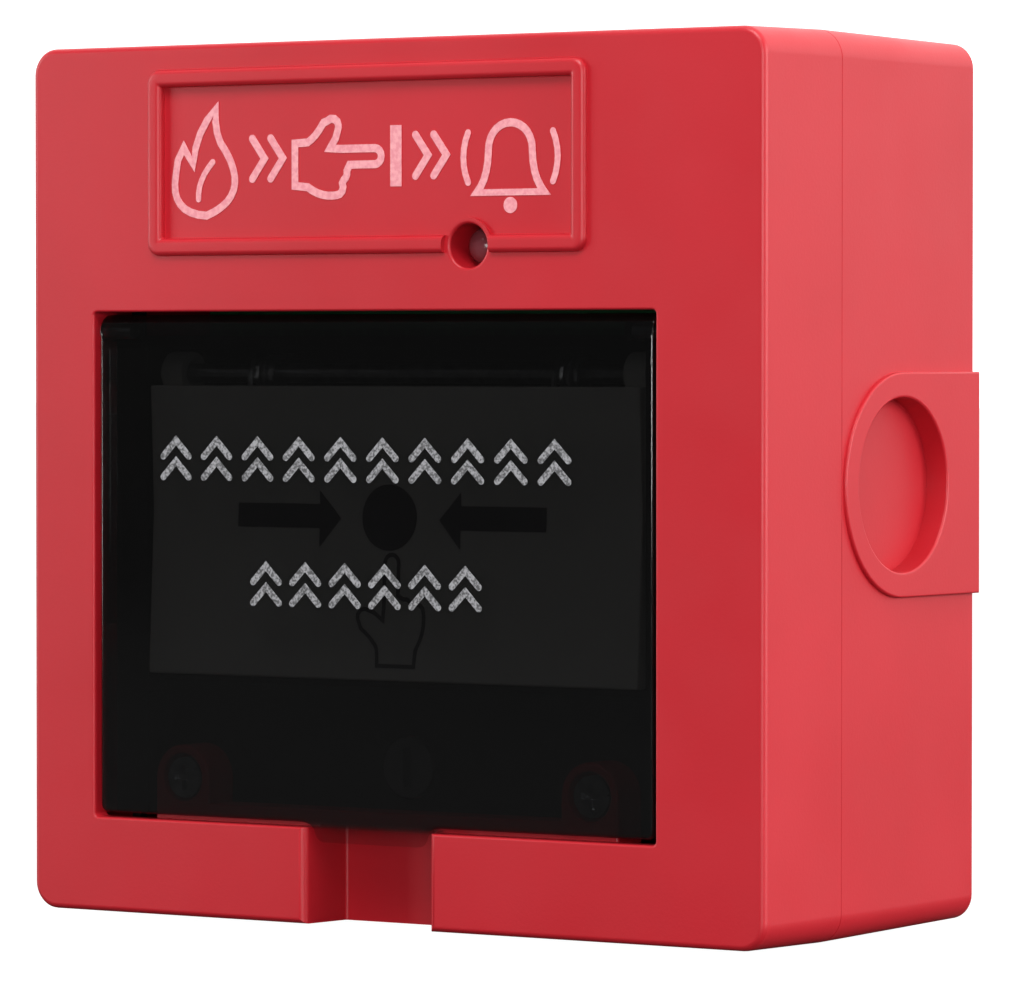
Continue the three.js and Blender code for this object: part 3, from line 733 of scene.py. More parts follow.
cover_outline = rounded(-HALF_FRONT, HALF_FRONT, -HALF_FRONT, HALF_FRONT, CORNER)
cavity_outline = rounded(-HALF_CAVITY, HALF_CAVITY, -HALF_CAVITY, HALF_CAVITY, CORNER - WALL)
cover_rings = [facing_front(drawn_in(cover_outline, inset), drop) for inset, drop in rounding(FRONT_EDGE)]
cover_rings += [
    facing_front(drawn_in(cover_outline, -SIDE_LEAN * (RIM - RIM_EDGE)), RIM - RIM_EDGE),
    facing_front(drawn_in(cover_outline, RIM_EDGE - SIDE_LEAN * RIM), RIM),
    facing_front(cavity_outline, RIM),
    facing_front(cavity_outline, WALL),
]
front_cover = stack("front_cover_moulding", cover_rings)
print("front cover rings:", len(cover_rings))

# %% [markdown]
# The label frame is a low round bar that runs round a rectangle, and the face inside it lies a
# little deeper. Its rings go round the bar's own section, so the stack closes on itself. At the
# status lamp the bar stops at a small boss with a round hole.

# %% Label frame and lamp hole
BAR = 2.1
BAR_EDGE = 0.65
BAR_ROOT = 1.4
FRAME = {"x0": AX - 32, "x1": AX + 31.2, "z0": 27.1, "z1": 49.5}
LAMP_X = AX + 14.55
LAMP_Z = 27.95
LAMP_HOLE = 2.6
LAMP_BOSS = 3.3
LAMP_GUIDE = 4.2

FRAME_CORNER = 1.7


def frame_line(inset):
    """The frame's outline drawn in, with corners that stay a little round inside."""
    x0, x1 = FRAME["x0"] + inset, FRAME["x1"] - inset
    z0, z1 = FRAME["z0"] + inset, FRAME["z1"] - inset
    return rounded(x0, x1, z0, z1, max(FRAME_CORNER - inset, 0.25))


rise_angles = [math.radians(a) for a in range(15, 90, 15)]
outer_side = [(BAR_EDGE * (1 - math.cos(a)), -BAR_RISE * math.sin(a)) for a in rise_angles]
outer_side = [(0, BAR_ROOT), (0, 0.0)] + outer_side + [(BAR_EDGE, -BAR_RISE)]
bar_section = outer_side + [(BAR - inset, depth) for inset, depth in reversed(outer_side)]
frame_rings = [facing_front(frame_line(inset), depth) for inset, depth in bar_section]
frame_bar = stack("label_frame", frame_rings, endless=True)

LABEL_DEPTH = 0.4
label_field = hole(frame_line(1.2), 0, LABEL_DEPTH)
front_cover = joined(cut(front_cover, label_field), frame_bar)
clearing = hole(circle(LAMP_X, LAMP_Z, LAMP_BOSS + 0.05), -BAR_RISE, 0)
boss = post(LAMP_X, LAMP_Z, LAMP_BOSS, 0.03, 2.6)
guide = post(LAMP_X, LAMP_Z, LAMP_GUIDE, 2.3, 6)
front_cover = joined(cut(front_cover, clearing), boss, guide)
front_cover = cut(front_cover, hole(circle(LAMP_X, LAMP_Z, LAMP_HOLE), 0.03, 7, lip=0.35))
print("bar section points:", len(bar_section))

# %% [markdown]
# The window is a square opening for the flap, and the notch below it lets a finger get behind the
# flap. The notch runs out through the lower edge of the cover, so its section is carried upwards:
# two rounded lips at the front and rounded corners at its floor.

# %% Window and finger notch
NOTCH_HALF = 8.9
NOTCH_DEPTH = 8.5
NOTCH_WALL = 2
NOTCH_LIP = 1.0
NOTCH_FLOOR_ROUND = 0.4

window_outline = rounded(AX - WINDOW["half"], AX + WINDOW["half"], WINDOW["bottom"], WINDOW["top"], 0.5, 4)
window = hole(window_outline, 0, 3, lip=0.3)
trough_half = NOTCH_HALF + NOTCH_WALL
trough = block(AX - trough_half, AX + trough_half, 1, NOTCH_DEPTH + NOTCH_WALL, -51.5, WINDOW["bottom"])
right_half = [(AX + NOTCH_HALF + NOTCH_LIP, -2)]
right_half += [(AX + NOTCH_HALF + inset, drop) for inset, drop in rounding(NOTCH_LIP)]
corner_x = AX + NOTCH_HALF - NOTCH_FLOOR_ROUND
right_half += arc(corner_x, NOTCH_DEPTH - NOTCH_FLOOR_ROUND, NOTCH_FLOOR_ROUND, 0, 90, 4)
notch_section = right_half + [(2 * AX - x, depth) for x, depth in reversed(right_half)]
notch = stack("notch", [facing_up(notch_section, -54.5), facing_up(notch_section, -40.8)])
front_cover = cut(joined(front_cover, trough), window, notch)
print("notch", 2 * NOTCH_HALF, "mm wide and", NOTCH_DEPTH, "mm deep")

# %% [markdown]
# Behind the window's lower edge the cover carries a sill and two round lugs for the cover screws.
# On its inside are the bearings of the flap's pins, four posts for the tray and two hooks that hang
# it on the back box.

# %% Lugs, bearings, posts and hooks
LUG_X = 29.45
LUG_Z = -36
LUG = 4
sides = (-1, 1)

sill = block(AX - LUG_X, AX + LUG_X, 2.2, 8, -44, -41.4)
ledge = block(AX - LUG_X, AX + LUG_X, 3.1, 8, -42, -39, edge=0.3)
finger_room = block(AX - NOTCH_HALF, AX + NOTCH_HALF, -1, NOTCH_DEPTH, -45, -40.7)
cover_sill = cut(joined(sill, ledge), finger_room)
front_cover = joined(front_cover, cover_sill)
for side in sides:
    centre = AX + side * LUG_X
    lug_outline = [(centre - LUG, -43.9), (centre + LUG, -43.9)] + arc(centre, LUG_Z, LUG, 0, 180, 16)
    lug = slab("lug", lug_outline, 3.1, 8, 0.4)
    shoulder = block(centre - LUG + 0.1, centre + LUG - 0.1, 2.2, 7.9, -43.8, -41.3)
    seat = hole(circle(centre, LUG_Z, 2.9, 32), 3.1, 5.6, lip=0.3)
    bore = hole(circle(centre, LUG_Z, 1.8, 24), 3.1, 9)
    front_cover = cut(joined(front_cover, lug, shoulder), seat, bore)
for side in sides:
    x0, x1 = sorted((AX + side * WINDOW["half"], AX + side * 46))
    bearing = block(x0, x1, 2.3, 4.7, 15.2, 20.8)
    bore_ends = sorted((AX + side * 39.5, AX + side * 45))
    pin_bore = rod("bore", *bore_ends, HINGE["depth"], HINGE["z"], HINGE["bore"], steps=20)
    hook_x = side * 25
    hook = block(hook_x - 5, hook_x + 5, 12, 22.5, 45.5, 47)
    hook_root = block(hook_x - 4.9, hook_x + 4.9, 12.1, 16, 46.9, 50.2)
    hook_tip = block(hook_x - 4.9, hook_x + 4.9, 21.3, 22.4, 46.9, 48.8)
    posts = [post(AX + side * 43.3, z, 2.2, 2.3, 15.7, steps=20) for z in (10, -20)]
    post_bores = [post(AX + side * 43.3, z, 1.4, 7, 16, steps=16) for z in (10, -20)]
    front_cover = joined(front_cover, bearing, joined(hook, hook_root, hook_tip), *posts)
    front_cover = cut(front_cover, pin_bore, *post_bores)
dress(front_cover, "housing", "red_housing", red_plastic, "front_cover")

# %% [markdown]
# ## Back box
# The back box is the cover's twin: the same outline, leaning in towards the wall. Each side carries
# a flat D-shaped pad with a round knockout, where a conduit can be let in. The pad is made once, on
# the right-hand side, and turned a quarter each time.

# %% Back box shell
BACK_LEAN = 0.45 / (DEPTH - SEAM)
BOX_RIM = SEAM + RIM_GAP


def quarter_turns(piece, turns):
    piece.data.transform(Matrix.Rotation(math.radians(90 * turns), 4, "Y"))
    return piece


def back_inset(depth):
    """How far the back box is drawn in at a depth."""
    return BACK_LEAN * (depth - SEAM) - SPREAD


back_rings = [
    facing_front(cavity_outline, DEPTH - WALL),
    facing_front(cavity_outline, BOX_RIM),
    facing_front(drawn_in(cover_outline, back_inset(BOX_RIM) + RIM_EDGE), BOX_RIM),
    facing_front(drawn_in(cover_outline, back_inset(BOX_RIM)), BOX_RIM + RIM_EDGE),
    facing_front(drawn_in(cover_outline, back_inset(DEPTH - 0.4)), DEPTH - 0.4),
    facing_front(drawn_in(cover_outline, back_inset(DEPTH) + 0.12), DEPTH - 0.12),
    facing_front(drawn_in(cover_outline, back_inset(DEPTH) + 0.4), DEPTH),
]
back_box = stack("back_box_moulding", back_rings)

PAD_FACE = 53.2
PAD_HALF = 13.2
PAD_DEPTH = 30
KNOCKOUT = 10.25
KNOCKOUT_FLOOR = 50.3
pad_outline = [(DEPTH - 0.1, -PAD_HALF), (DEPTH - 0.1, PAD_HALF)] + arc(PAD_DEPTH, 0, PAD_HALF, 90, 180, 40)
for turns in range(4):
    pad = slab("pad", pad_outline, PAD_FACE, 49.5, 0.25, 0, facing_side)
    backing = slab("backing", circle(PAD_DEPTH, 0, 12, 40), 51, 49, 0, 0, facing_side)
    knockout = hole(circle(PAD_DEPTH, 0, KNOCKOUT, 64), PAD_FACE, KNOCKOUT_FLOOR, 0.3, facing_side)
    joined(back_box, quarter_turns(joined(pad, backing), turns))
    cut(back_box, quarter_turns(knockout, turns))
print("back box with", len(back_box.data.polygons), "faces")

# %% [markdown]
# Inside stand the two posts for the cover screws and the bosses round the wall holes. The wall
# holes, and the cable entry with its rubber grommet, go right through the back.

# %% Posts and holes of the back box
for side in sides:
    x = AX + side * LUG_X
    wall_x = side * 30.15
    hook_x = side * 25
    cover_post = post(x, LUG_Z, 4, 18.6, 45.7)
    wall_boss = post(wall_x, 0, 5, 43.5, 45.7, 0)
    catch = block(hook_x - 5, hook_x + 5, 18.8, 20.8, 47.4, 50.2)
    insert_seat = post(x, LUG_Z, 2.9, 18, 27)
    insert_bore = post(x, LUG_Z, 2, 26, 34, steps=24)
    wall_hole = post(wall_x, 0, 2.4, 42, 50, steps=32)
    joined(back_box, cover_post, wall_boss, catch)
    cut(back_box, insert_seat, insert_bore, wall_hole)
CABLE_ENTRY_Z = 24
CABLE_ENTRY_RADIUS = 8
cut(back_box, post(0, CABLE_ENTRY_Z, CABLE_ENTRY_RADIUS, 42, 50, steps=48))
dress(back_box, "housing", "red_housing", red_plastic, "back_box")

# %% [markdown]
# ## Flap
# The flap is a flat smoked sheet with a round barrel along its top, in which the pins turn, and a
# small tab at the bottom for the finger. Its front edge is rounded, and that line catches the
# light. The tab is milled thin from behind.

# %% Flap
TAB = -42.75
SHEET_BOTTOM = -40.4
SHEET_TOP = 18.6
HALF_SHEET = 39.9
BARREL = 2.05
left_shoulder = curve_between((-10.4, SHEET_BOTTOM), (-8.4, SHEET_BOTTOM), (-8, SHEET_BOTTOM - 1.1))
left_tip = curve_between((-8, SHEET_BOTTOM - 1.1), (-7.7, TAB), (-6.6, TAB))[1:]
tab_left = left_shoulder + left_tip
tab_right = [(-x, z) for x, z in reversed(tab_left)]
left_corner = [(-HALF_SHEET, SHEET_TOP)] + arc(1 - HALF_SHEET, SHEET_BOTTOM + 1, 1, 180, 90, 6)
right_corner = [(-x, z) for x, z in reversed(left_corner)]
flap_outline = [(AX + x, z) for x, z in left_corner + tab_left + tab_right + right_corner]
flap = slab("flap_sheet", flap_outline, 0.45, 2.45, 0.45, 0.2)
barrel = rod("barrel", AX - HALF_SHEET, AX + HALF_SHEET, HINGE["depth"], HINGE["z"], BARREL, 0.2, 40)
pin_holes = []
for side in sides:
    bore_ends = sorted((AX + side * 35.4, AX + side * 41))
    pin_holes.append(rod("hole", *bore_ends, HINGE["depth"], HINGE["z"], HINGE["bore"], steps=24))
thinning = block(AX - 12, AX + 12, 1.35, 3, -43.5, -41.15)
flap = cut(joined(flap, barrel), thinning, *pin_holes)
dress(flap, "flap", "smoked_flap", smoked_plastic, "flap")

# %% [markdown]
# ## Press plate
# The plate behind the flap is what a hand pushes. Its front is folded a little: the upper half leans
# back towards the middle and the lower half leans forward again, so the fold shows as a line.
# Two ears at the top carry it on its rod, and a short striker behind it reaches for the switch.

# %% Press plate
FOLD = -2.7
HALF_PLATE = 35.4
PLATE_TOP, PLATE_BOTTOM = 11.5, -23.5
FACE_AT_TOP, FACE_AT_FOLD, FACE_AT_BOTTOM = 4.6, 5.2, 4.2
PLATE_PIVOT = {"depth": 9, "z": 13, "bore": 1.5}


def eased(outline, radius, steps=3):
    """The outline with each of its corners rounded off."""
    points = []
    for i, corner in enumerate(outline):
        here = Vector(corner)
        before = Vector(outline[i - 1])
        after = Vector(outline[(i + 1) % len(outline)])
        start = here.lerp(before, radius / (before - here).length)
        end = here.lerp(after, radius / (after - here).length)
        points += curve_between(start, here, end, steps)
    return points


plate_face = [(FACE_AT_TOP, PLATE_TOP), (FACE_AT_FOLD, FOLD), (FACE_AT_BOTTOM, PLATE_BOTTOM)]
plate_section = plate_face[2:] + [(depth + 2, z) for depth, z in reversed(plate_face)] + plate_face[:2]
plate_outline = eased(plate_section, 0.35)
plate = slab("press_plate_panel", plate_outline, AX - HALF_PLATE, AX + HALF_PLATE, 0.3, 0.3, facing_side)
for side in sides:
    x0, x1 = sorted((AX + side * 32, AX + side * 35))
    eye = rod("eye", x0, x1, PLATE_PIVOT["depth"], PLATE_PIVOT["z"], 2.6)
    joined(plate, eye, block(x0, x1, 5.6, PLATE_PIVOT["depth"], 6, 11.3))
joined(plate, post(AX + 14, -13, 2, 6.2, 7.3))
pivot_bore = rod("bore", AX - 40, AX + 40, *PLATE_PIVOT.values(), steps=24)
cut(plate, pivot_bore)
dress(plate, "press_plate", "white_plastic", white_plastic, "press_plate")

# %% [markdown]
# ## Printed signs
# The signs are flat shapes: filled areas, and strokes of even width with round ends. They are drawn
# flat first. Then the faces are thickened into a film, and each point takes the depth of the
# surface under it, so that a sign on the folded plate is folded with it.

# %% Drawing strokes and areas
END_STEPS = 4


def add_area(shape, outline):
    shape.faces.new([shape.verts.new((x, 0, z)) for x, z in outline])


def round_end(tip, direction, half_width):
    """Points past the end of a stroke, where it narrows to a round end."""
    points = []
    for i in range(END_STEPS):
        angle = math.radians(90 * (i + 1) / END_STEPS)
        narrowed = half_width * max(math.cos(angle), 0.05)
        points.append((tip + direction * half_width * math.sin(angle), narrowed))
    return points


def add_stroke(shape, points, width, closed=False):
    line = [Vector(point) for point in points]
    stations = [(point, width / 2) for point in line]
    if not closed:
        first_way = (line[0] - line[1]).normalized()
        last_way = (line[-1] - line[-2]).normalized()
        stations = round_end(line[0], first_way, width / 2)[::-1] + stations
        stations += round_end(line[-1], last_way, width / 2)
    pairs = []
    for i, (here, half) in enumerate(stations):
        before = stations[i - 1][0] if i > 0 or closed else here
        after = stations[(i + 1) % len(stations)][0] if i < len(stations) - 1 or closed else here
        arriving = (here - before).normalized()
        leaving = (after - here).normalized()
        if before == here:
            arriving = leaving
        if after == here:
            leaving = arriving
        across = Vector((-arriving.y - leaving.y, arriving.x + leaving.x)).normalized()
        reach = half / max(across.dot(Vector((-arriving.y, arriving.x))), 0.5)
        both_sides = (here + across * reach, here - across * reach)
        pairs.append([shape.verts.new((p.x, 0, p.y)) for p in both_sides])
    following = pairs[1:] + (pairs[:1] if closed else [])
    for (left, right), (next_left, next_right) in zip(pairs, following):
        shape.faces.new((left, next_left, next_right, right))


def film(name, shape, surface, thickness, fold=None):
    """Thickens flat faces into a film that lies on a surface: surface gives the depth at a height."""
    if fold is not None:
        everything = shape.verts[:] + shape.edges[:] + shape.faces[:]
        bmesh.ops.bisect_plane(shape, geom=everything, plane_co=(0, 0, fold), plane_no=(0, 0, 1))
    raised = bmesh.ops.extrude_face_region(shape, geom=shape.faces[:], use_keep_orig=True)
    front = {part for part in raised["geom"] if isinstance(part, bmesh.types.BMVert)}
    for vertex in shape.verts:
        x, z = vertex.co.x, vertex.co.z
        depth = surface(z) - (thickness if vertex in front else 0)
        vertex.co = (x * MM, at(depth), z * MM)
    bmesh.ops.recalc_face_normals(shape, faces=shape.faces)
    return piece_from(name, shape)


def moved(points, x, z, scale=1.0, turn=0.0):
    """Points turned, scaled and then moved to a place."""
    c, s = math.cos(math.radians(turn)) * scale, math.sin(math.radians(turn)) * scale
    return [(x + c * px - s * pz, z + s * px + c * pz) for px, pz in points]


# %% [markdown]
# The label inside the frame says what the unit does without words: a flame, a hand that presses a
# button, and a bell. Pairs of chevrons lead from one to the next.

# %% Pictograms of the label
LABEL_STROKE = 0.95

hand_line = [(3.6, -7.4), (3.8, -5.4)] + curve_between((3.8, -5.4), (5.0, -3.6), (4.9, -1.6), 5)[1:]
hand_line += arc(3.85, -1.0, 1.0, 0, 120, 4) + arc(2.1, -0.4, 1.0, 30, 75, 3) + [(1.1, 1.0), (1.1, 4.8)]
hand_line += arc(0.1, 4.8, 1.0, 0, 180, 8)[1:] + [(-0.9, -0.4)]
hand_line += curve_between((-1.0, -2.0), (-2.2, -0.9), (-3.6, -0.7), 2)
hand_line += arc(-3.7, -1.7, 1.0, 95, 130, 4) + curve_between((-4.2, -3.0), (-2.4, -4.2), (-1.8, -5.4), 4)
hand_line += [(-1.7, -7.4)]

flame_line = curve_between((0, 0), (-5.6, 0.3), (-4.6, 5.0), 8)
flame_line += curve_between((-4.6, 5.0), (-4.6, 6.8), (-3.4, 8.2), 2)[1:]
flame_line += curve_between((-2.0, 6.2), (-1.6, 10.2), (1.4, 12.8), 4)
flame_line += curve_between((1.4, 12.8), (1.0, 9.6), (2.9, 7.6), 4)[1:]
flame_line += curve_between((2.9, 7.6), (6.6, 2.2), (0, 0), 10)[1:-1]

FLAME_AT = (-26.3, 31.9)
BELL_X = 17.6
bell_line = [(-5.3, 0), (5.3, 0)] + curve_between((5.3, 0), (3.5, 1.6), (3.4, 5.4), 5)[1:]
bell_line += arc(0, 5.6, 3.4, 0, 180, 14) + curve_between((-3.4, 5.4), (-3.5, 1.6), (-5.3, 0), 5)[:-1]

flame_heart = curve_between((-1.2, 2.0), (-1.4, 4.2), (0.9, 6.4), 6)

label = bmesh.new()
add_stroke(label, moved(flame_line, *FLAME_AT), LABEL_STROKE, closed=True)
add_stroke(label, moved(flame_heart, *FLAME_AT), LABEL_STROKE * 0.8)
add_stroke(label, moved(hand_line, -6.2, 38.7, 0.95, -90), LABEL_STROKE, closed=True)
add_area(label, [(0.6, 35.0), (2.2, 35.0), (2.2, 42.2), (0.6, 42.2)])
add_stroke(label, moved(bell_line, BELL_X, 34.1, 0.9), LABEL_STROKE, closed=True)
add_area(label, circle(BELL_X, 32.6, 0.95, 24))
for side in sides:
    add_stroke(label, arc(BELL_X, 38.2, 6.6, 90 - side * 90 - 26, 52, 6), LABEL_STROKE * 0.85)
for x in (-18.6, -15.9, 5.1, 7.7):
    add_stroke(label, [(x - 0.9, 36.2), (x + 0.9, 38.6), (x - 0.9, 41.0)], LABEL_STROKE)
label = film("label_pictograms", label, lambda z: LABEL_DEPTH, 0.07)
dress(label, "housing", "white_plastic", label_paint)

# %% [markdown]
# The plate shows where to press: a dot on the fold, an arrow from each side, and a pointing hand.

# %% Signs on the plate
def plate_surface(z):
    if z > FOLD:
        return FACE_AT_FOLD + (FACE_AT_TOP - FACE_AT_FOLD) * (z - FOLD) / (PLATE_TOP - FOLD)
    return FACE_AT_FOLD + (FACE_AT_BOTTOM - FACE_AT_FOLD) * (FOLD - z) / (FOLD - PLATE_BOTTOM)


plate_signs = bmesh.new()
add_area(plate_signs, circle(-2.86, -4.1, 3.95))
left_shaft = [(-13.0, -2.6), (-25.1, -2.6), (-25.1, -5.5), (-13.0, -5.5)]
left_arrow = left_shaft[2:] + [(-13.0, -7.8), (-9.9, -4.3), (-13.0, -1.0)] + left_shaft[:2]
add_area(plate_signs, left_arrow)
add_area(plate_signs, [(2 * AX - x - 0.2, z) for x, z in reversed(left_arrow)])
add_stroke(plate_signs, moved(hand_line, -2.45, -14.3), 0.5, closed=True)
plate_signs = film("plate_signs", plate_signs, plate_surface, 0.05, fold=FOLD)
dress(plate_signs, "press_plate", "black_plastic", plate_ink)

# %% [markdown]
# The flap carries frosted marks on its front: two rows of double chevrons that point the way it
# lifts.

# %% Marks on the flap
def double_chevrons(shape, first_x, last_x, count, z):
    for i in range(count):
        x = first_x + (last_x - first_x) * i / (count - 1)
        for step in (0, 2.5):
            add_stroke(shape, [(x - 1.9, z + step), (x, z + step + 1.9), (x + 1.9, z + step)], 0.85)


flap_marks = bmesh.new()
double_chevrons(flap_marks, -31.0, 23.7, 10, 0.5)
double_chevrons(flap_marks, -17.6, 11.2, 6, -14.4)
flap_marks = film("flap_lift_marks", flap_marks, lambda z: 0.45, 0.04)
dress(flap_marks, "flap", "white_plastic", frosted_paint)

# %% [markdown]
# ## Status lamp
# The lamp behind its hole is a 5 mm lamp of the usual kind: a domed lens with a collar at its foot
# and two thin leads. The lens is turned round the lamp's axis, so it is a stack of circles.

# %% Lamp lens
def turned(name, x, z, profile, steps=40):
    """A stack of circles: the profile gives each one's radius and depth."""
    return stack(name, [facing_front(circle(x, z, radius, steps), depth) for radius, depth in profile])


lamp_plastic = moulded_plastic("lamp_plastic", (0.20, 0.045, 0.055), (0.15, 0.03, 0.04), 0.2, 1.0, 0.02)
dome = [(2.3 * math.sin(math.radians(a)), 4.3 - 2.3 * math.cos(math.radians(a))) for a in range(2, 91, 8)]
lens_profile = dome + [(2.3, 9.8), (2.62, 9.85), (2.7, 9.95), (2.7, 10.75)]
lens = turned("status_lamp_lens", LAMP_X, LAMP_Z, lens_profile)
dress(lens, "housing", "lamp_plastic", lamp_plastic, "status_lamp")
for hand, side in zip(("left", "right"), sides):
    x = LAMP_X + side * 1.27
    lead = block(x - 0.25, x + 0.25, 10.8, 20, LAMP_Z - 0.25, LAMP_Z + 0.25, 0.05)
    lead.name = "status_lamp_lead_" + hand
    dress(lead, "housing", "zinc_steel", zinc_steel)

# %% [markdown]
# ## The parts inside
# The tray, the switch, the reset lock, the board and the fasteners keep the shapes of the working
# model. Up to two modifiers finish them: the first joins their flat triangles into whole faces, and
# the second, where an edge width is given, rounds the sharp edges a little, as moulding and plating do.

# %% Finishing a part of the working model
def refine(node, material, edge=0.0, smooth_to=32):
    part = bpy.data.objects[node]
    part.data.materials.clear()
    part.data.materials.append(material)
    part.data.shade_smooth()
    part.data.set_sharp_from_angle(angle=math.radians(smooth_to))
    flat = part.modifiers.new("whole flat faces", "DECIMATE")
    flat.decimate_type = "DISSOLVE"
    flat.angle_limit = math.radians(1)
    if edge:
        bevel = part.modifiers.new("rounded edges", "BEVEL")
        bevel.width = edge * MM
        bevel.segments = 2
        bevel.limit_method = "ANGLE"
        bevel.angle_limit = math.radians(40)
        bevel.harden_normals = True
    return part


for node in ("mechanism_tray", "relay"):
    refine(node, black_plastic, 0.25)
for node in ("trip_switch", "reset_barrel", "reset_cam", "reset_latch"):
    refine(node, grey_plastic, 0.15)
refine("trip_plunger", red_plastic, 0.15)
refine("lamp_spacer", white_plastic, 0.1)
refine("terminal_block", green_plastic, 0.12)
steel_nodes = ["plate_pivot_rod"]
for hand in ("left", "right"):
    steel_nodes += ["flap_pin_" + hand, "plate_spring_" + hand, "cover_screw_" + hand]
    refine("screw_insert_" + hand, brass, 0.08)
steel_nodes += ["terminal_screw_" + str(i) for i in range(1, 7)]
steel_nodes += ["tray_screw_" + str(i) for i in range(1, 5)]
steel_nodes += ["board_screw_" + str(i) for i in range(1, 5)]
for node in steel_nodes:
    refine(node, zinc_steel)
print(len(steel_nodes), "steel parts")

# %% [markdown]
# ## Rubber
# The seal between the two mouldings and the grommet in the cable entry are soft black rubber:
# almost no gloss, a fine open grain, and a grey bloom in patches.

# %% Rubber
RUBBER, BLOOM = (0.016, 0.016, 0.016), (0.032, 0.032, 0.031)
black_rubber = moulded_plastic("black_rubber", RUBBER, BLOOM, 0.8, 0.3, 0.6, 0.25)
refine("seal_gasket", black_rubber)
refine("cable_grommet", black_rubber, 0.12)

# %% [markdown]
# ## Circuit board
# The board is glass-fibre laminate under a green resist. Copper tracks show through the resist as
# slightly lighter lines, which run straight and turn at right angles. A brick pattern gives such
# lines when its mortar stands for the copper.

# %% Circuit board
circuit_board = bpy.data.materials.new("circuit_board")
circuit_board.use_nodes = True
tree = circuit_board.node_tree
tree.nodes.clear()
track_frame = tree.nodes.new("NodeFrame")
track_frame.label = "copper tracks under the resist"
board_place = tree.nodes.new("ShaderNodeTexCoord")
board_place.label = "place on the board"
board_place.location = (-1100, 0)
board_view = tree.nodes.new("ShaderNodeMapping")
board_view.label = "look at the board from the front"
board_view.location = (-900, 0)
board_view.parent = track_frame
board_view.inputs["Rotation"].default_value = (math.radians(90), 0, 0)
tracks = tree.nodes.new("ShaderNodeTexBrick")
tracks.label = "tracks"
tracks.location = (-680, 60)
tracks.parent = track_frame
tracks.inputs["Color1"].default_value = (0.008, 0.07, 0.025, 1)
tracks.inputs["Color2"].default_value = (0.01, 0.085, 0.03, 1)
tracks.inputs["Mortar"].default_value = (0.02, 0.15, 0.055, 1)
tracks.inputs["Scale"].default_value = 160
tracks.inputs["Mortar Size"].default_value = 0.06
tracks.inputs["Mortar Smooth"].default_value = 0.3
board_bump = tree.nodes.new("ShaderNodeBump")
board_bump.label = "tracks stand proud"
board_bump.location = (-440, -160)
board_bump.parent = track_frame
board_bump.inputs["Strength"].default_value = 0.5
board_bump.inputs["Distance"].default_value = 0.035 * MM
board_shader = tree.nodes.new("ShaderNodeBsdfPrincipled")
board_shader.label = "green resist"
board_shader.location = (-200, 60)
board_shader.inputs["Roughness"].default_value = 0.28
board_output = tree.nodes.new("ShaderNodeOutputMaterial")
board_output.location = (100, 60)
tree.links.new(board_place.outputs["Object"], board_view.inputs["Vector"])
tree.links.new(board_view.outputs["Vector"], tracks.inputs["Vector"])
tree.links.new(tracks.outputs["Color"], board_shader.inputs["Base Color"])
tree.links.new(tracks.outputs["Fac"], board_bump.inputs["Height"])
tree.links.new(board_bump.outputs["Normal"], board_shader.inputs["Normal"])
tree.links.new(board_shader.outputs["BSDF"], board_output.inputs["Surface"])
refine("circuit_board", circuit_board, 0.1)
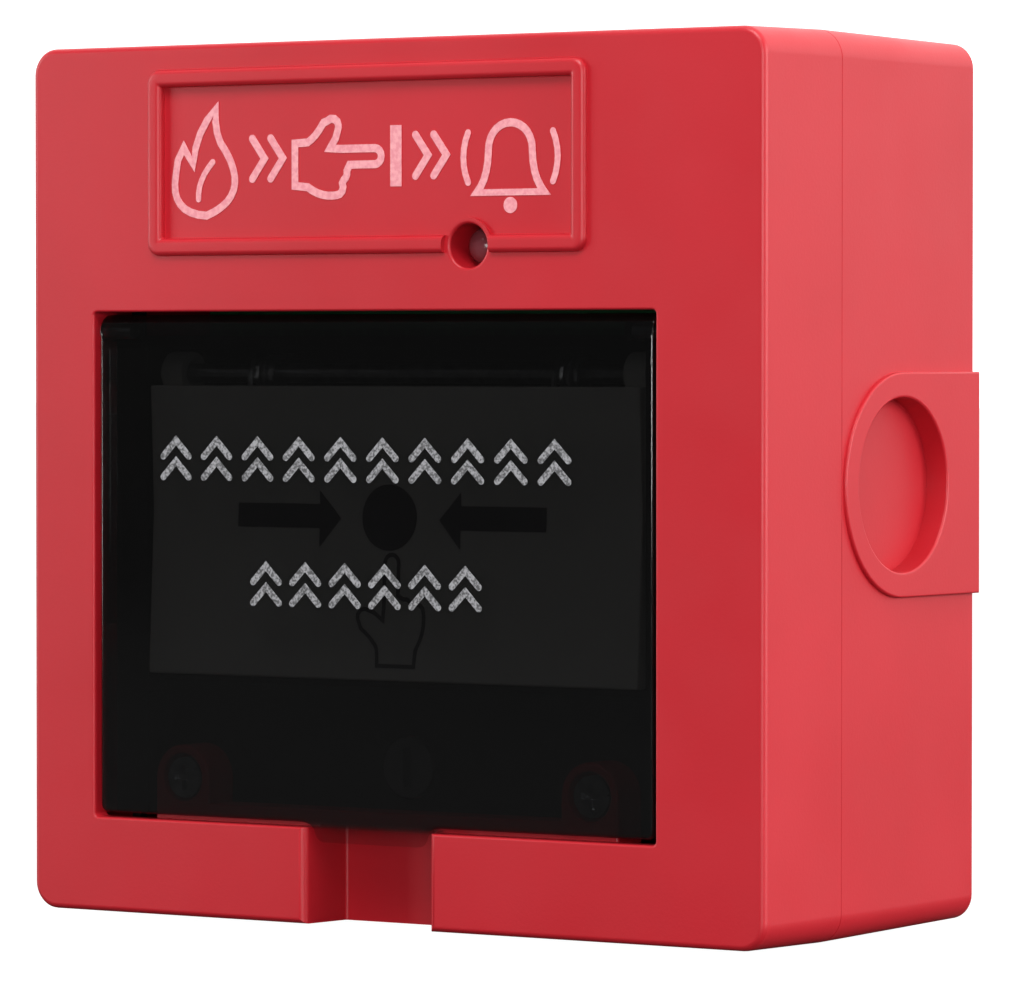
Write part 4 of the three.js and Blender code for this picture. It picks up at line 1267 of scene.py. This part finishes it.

# %% [markdown]
# ## Resistors and capacitor
# A resistor is a lacquered body with colour bands round it, and its leads are tinned wire. Height
# along the part picks the colour: one ramp with hard steps paints the bands, and its end steps tell
# wire from body. The capacitor is a can in a dark sleeve with one light stripe at its foot.

# %% Banded components
def banded(name, low_z, high_z, bands, axis, gloss):
    """Colours by position along an axis, from low to high: a list of (start, colour)."""
    material = bpy.data.materials.new(name)
    material.use_nodes = True
    tree = material.node_tree
    tree.nodes.clear()
    band_frame = tree.nodes.new("NodeFrame")
    band_frame.label = "painted bands"
    lacquer_frame = tree.nodes.new("NodeFrame")
    lacquer_frame.label = "uneven lacquer"
    place = tree.nodes.new("ShaderNodeTexCoord")
    place.label = "place on the part"
    place.location = (-1100, 0)
    along = tree.nodes.new("ShaderNodeSeparateXYZ")
    along.label = "position along the part"
    along.location = (-880, 120)
    along.parent = band_frame
    share = tree.nodes.new("ShaderNodeMapRange")
    share.label = "from one end to the other"
    share.location = (-660, 120)
    share.parent = band_frame
    share.inputs["From Min"].default_value = low_z
    share.inputs["From Max"].default_value = high_z
    colours = tree.nodes.new("ShaderNodeValToRGB")
    colours.label = "band colours"
    colours.location = (-440, 120)
    colours.parent = band_frame
    colours.color_ramp.interpolation = "CONSTANT"
    for start, colour in bands[1:]:
        step = colours.color_ramp.elements.new(start)
        step.color = (*colour, 1)
    colours.color_ramp.elements[0].color = (*bands[0][1], 1)
    colours.color_ramp.elements[-1].color = (*bands[-1][1], 1)
    lacquer = tree.nodes.new("ShaderNodeTexNoise")
    lacquer.label = "uneven lacquer"
    lacquer.location = (-660, -180)
    lacquer.parent = lacquer_frame
    lacquer.inputs["Scale"].default_value = 1500
    bump = tree.nodes.new("ShaderNodeBump")
    bump.label = "lacquer relief"
    bump.location = (-440, -180)
    bump.parent = lacquer_frame
    bump.inputs["Strength"].default_value = 0.2
    bump.inputs["Distance"].default_value = 0.03 * MM
    shader = tree.nodes.new("ShaderNodeBsdfPrincipled")
    shader.label = "lacquer"
    shader.location = (-160, 60)
    shader.inputs["Roughness"].default_value = gloss
    output = tree.nodes.new("ShaderNodeOutputMaterial")
    output.location = (140, 60)
    tree.links.new(place.outputs["Object"], along.inputs["Vector"])
    tree.links.new(along.outputs[axis], share.inputs["Value"])
    tree.links.new(share.outputs["Result"], colours.inputs["Fac"])
    tree.links.new(colours.outputs["Color"], shader.inputs["Base Color"])
    tree.links.new(place.outputs["Object"], lacquer.inputs["Vector"])
    tree.links.new(lacquer.outputs["Fac"], bump.inputs["Height"])
    tree.links.new(bump.outputs["Normal"], shader.inputs["Normal"])
    tree.links.new(shader.outputs["BSDF"], output.inputs["Surface"])
    return material


WIRE = (0.5, 0.5, 0.5)
COAT = (0.42, 0.27, 0.15)
BROWN, INK = (0.25, 0.05, 0.01), (0.01, 0.01, 0.01)
SIGNAL_RED, GOLD = (0.5, 0.02, 0.01), (0.5, 0.33, 0.05)
resistor_low, resistor_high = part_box("resistor_1")
resistor_bands = [(0, WIRE), (0.22, COAT), (0.3, BROWN), (0.36, COAT), (0.42, INK), (0.48, COAT)]
resistor_bands += [(0.54, SIGNAL_RED), (0.6, COAT), (0.7, GOLD), (0.76, COAT), (0.8, WIRE)]
resistor_coat = banded("resistor_coat", resistor_low.z, resistor_high.z, resistor_bands, "Z", 0.25)
for node in ("resistor_1", "resistor_2"):
    refine(node, resistor_coat, smooth_to=50)
can_low, can_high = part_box("capacitor")
sleeve = (0.012, 0.018, 0.05)
can_bands = [(0, (0.35, 0.36, 0.37)), (0.05, sleeve), (0.82, (0.4, 0.42, 0.45)), (0.9, sleeve)]
capacitor_can = banded("capacitor_can", can_high.y, can_low.y, can_bands, "Y", 0.3)
refine("capacitor", capacitor_can, 0.1, smooth_to=50)
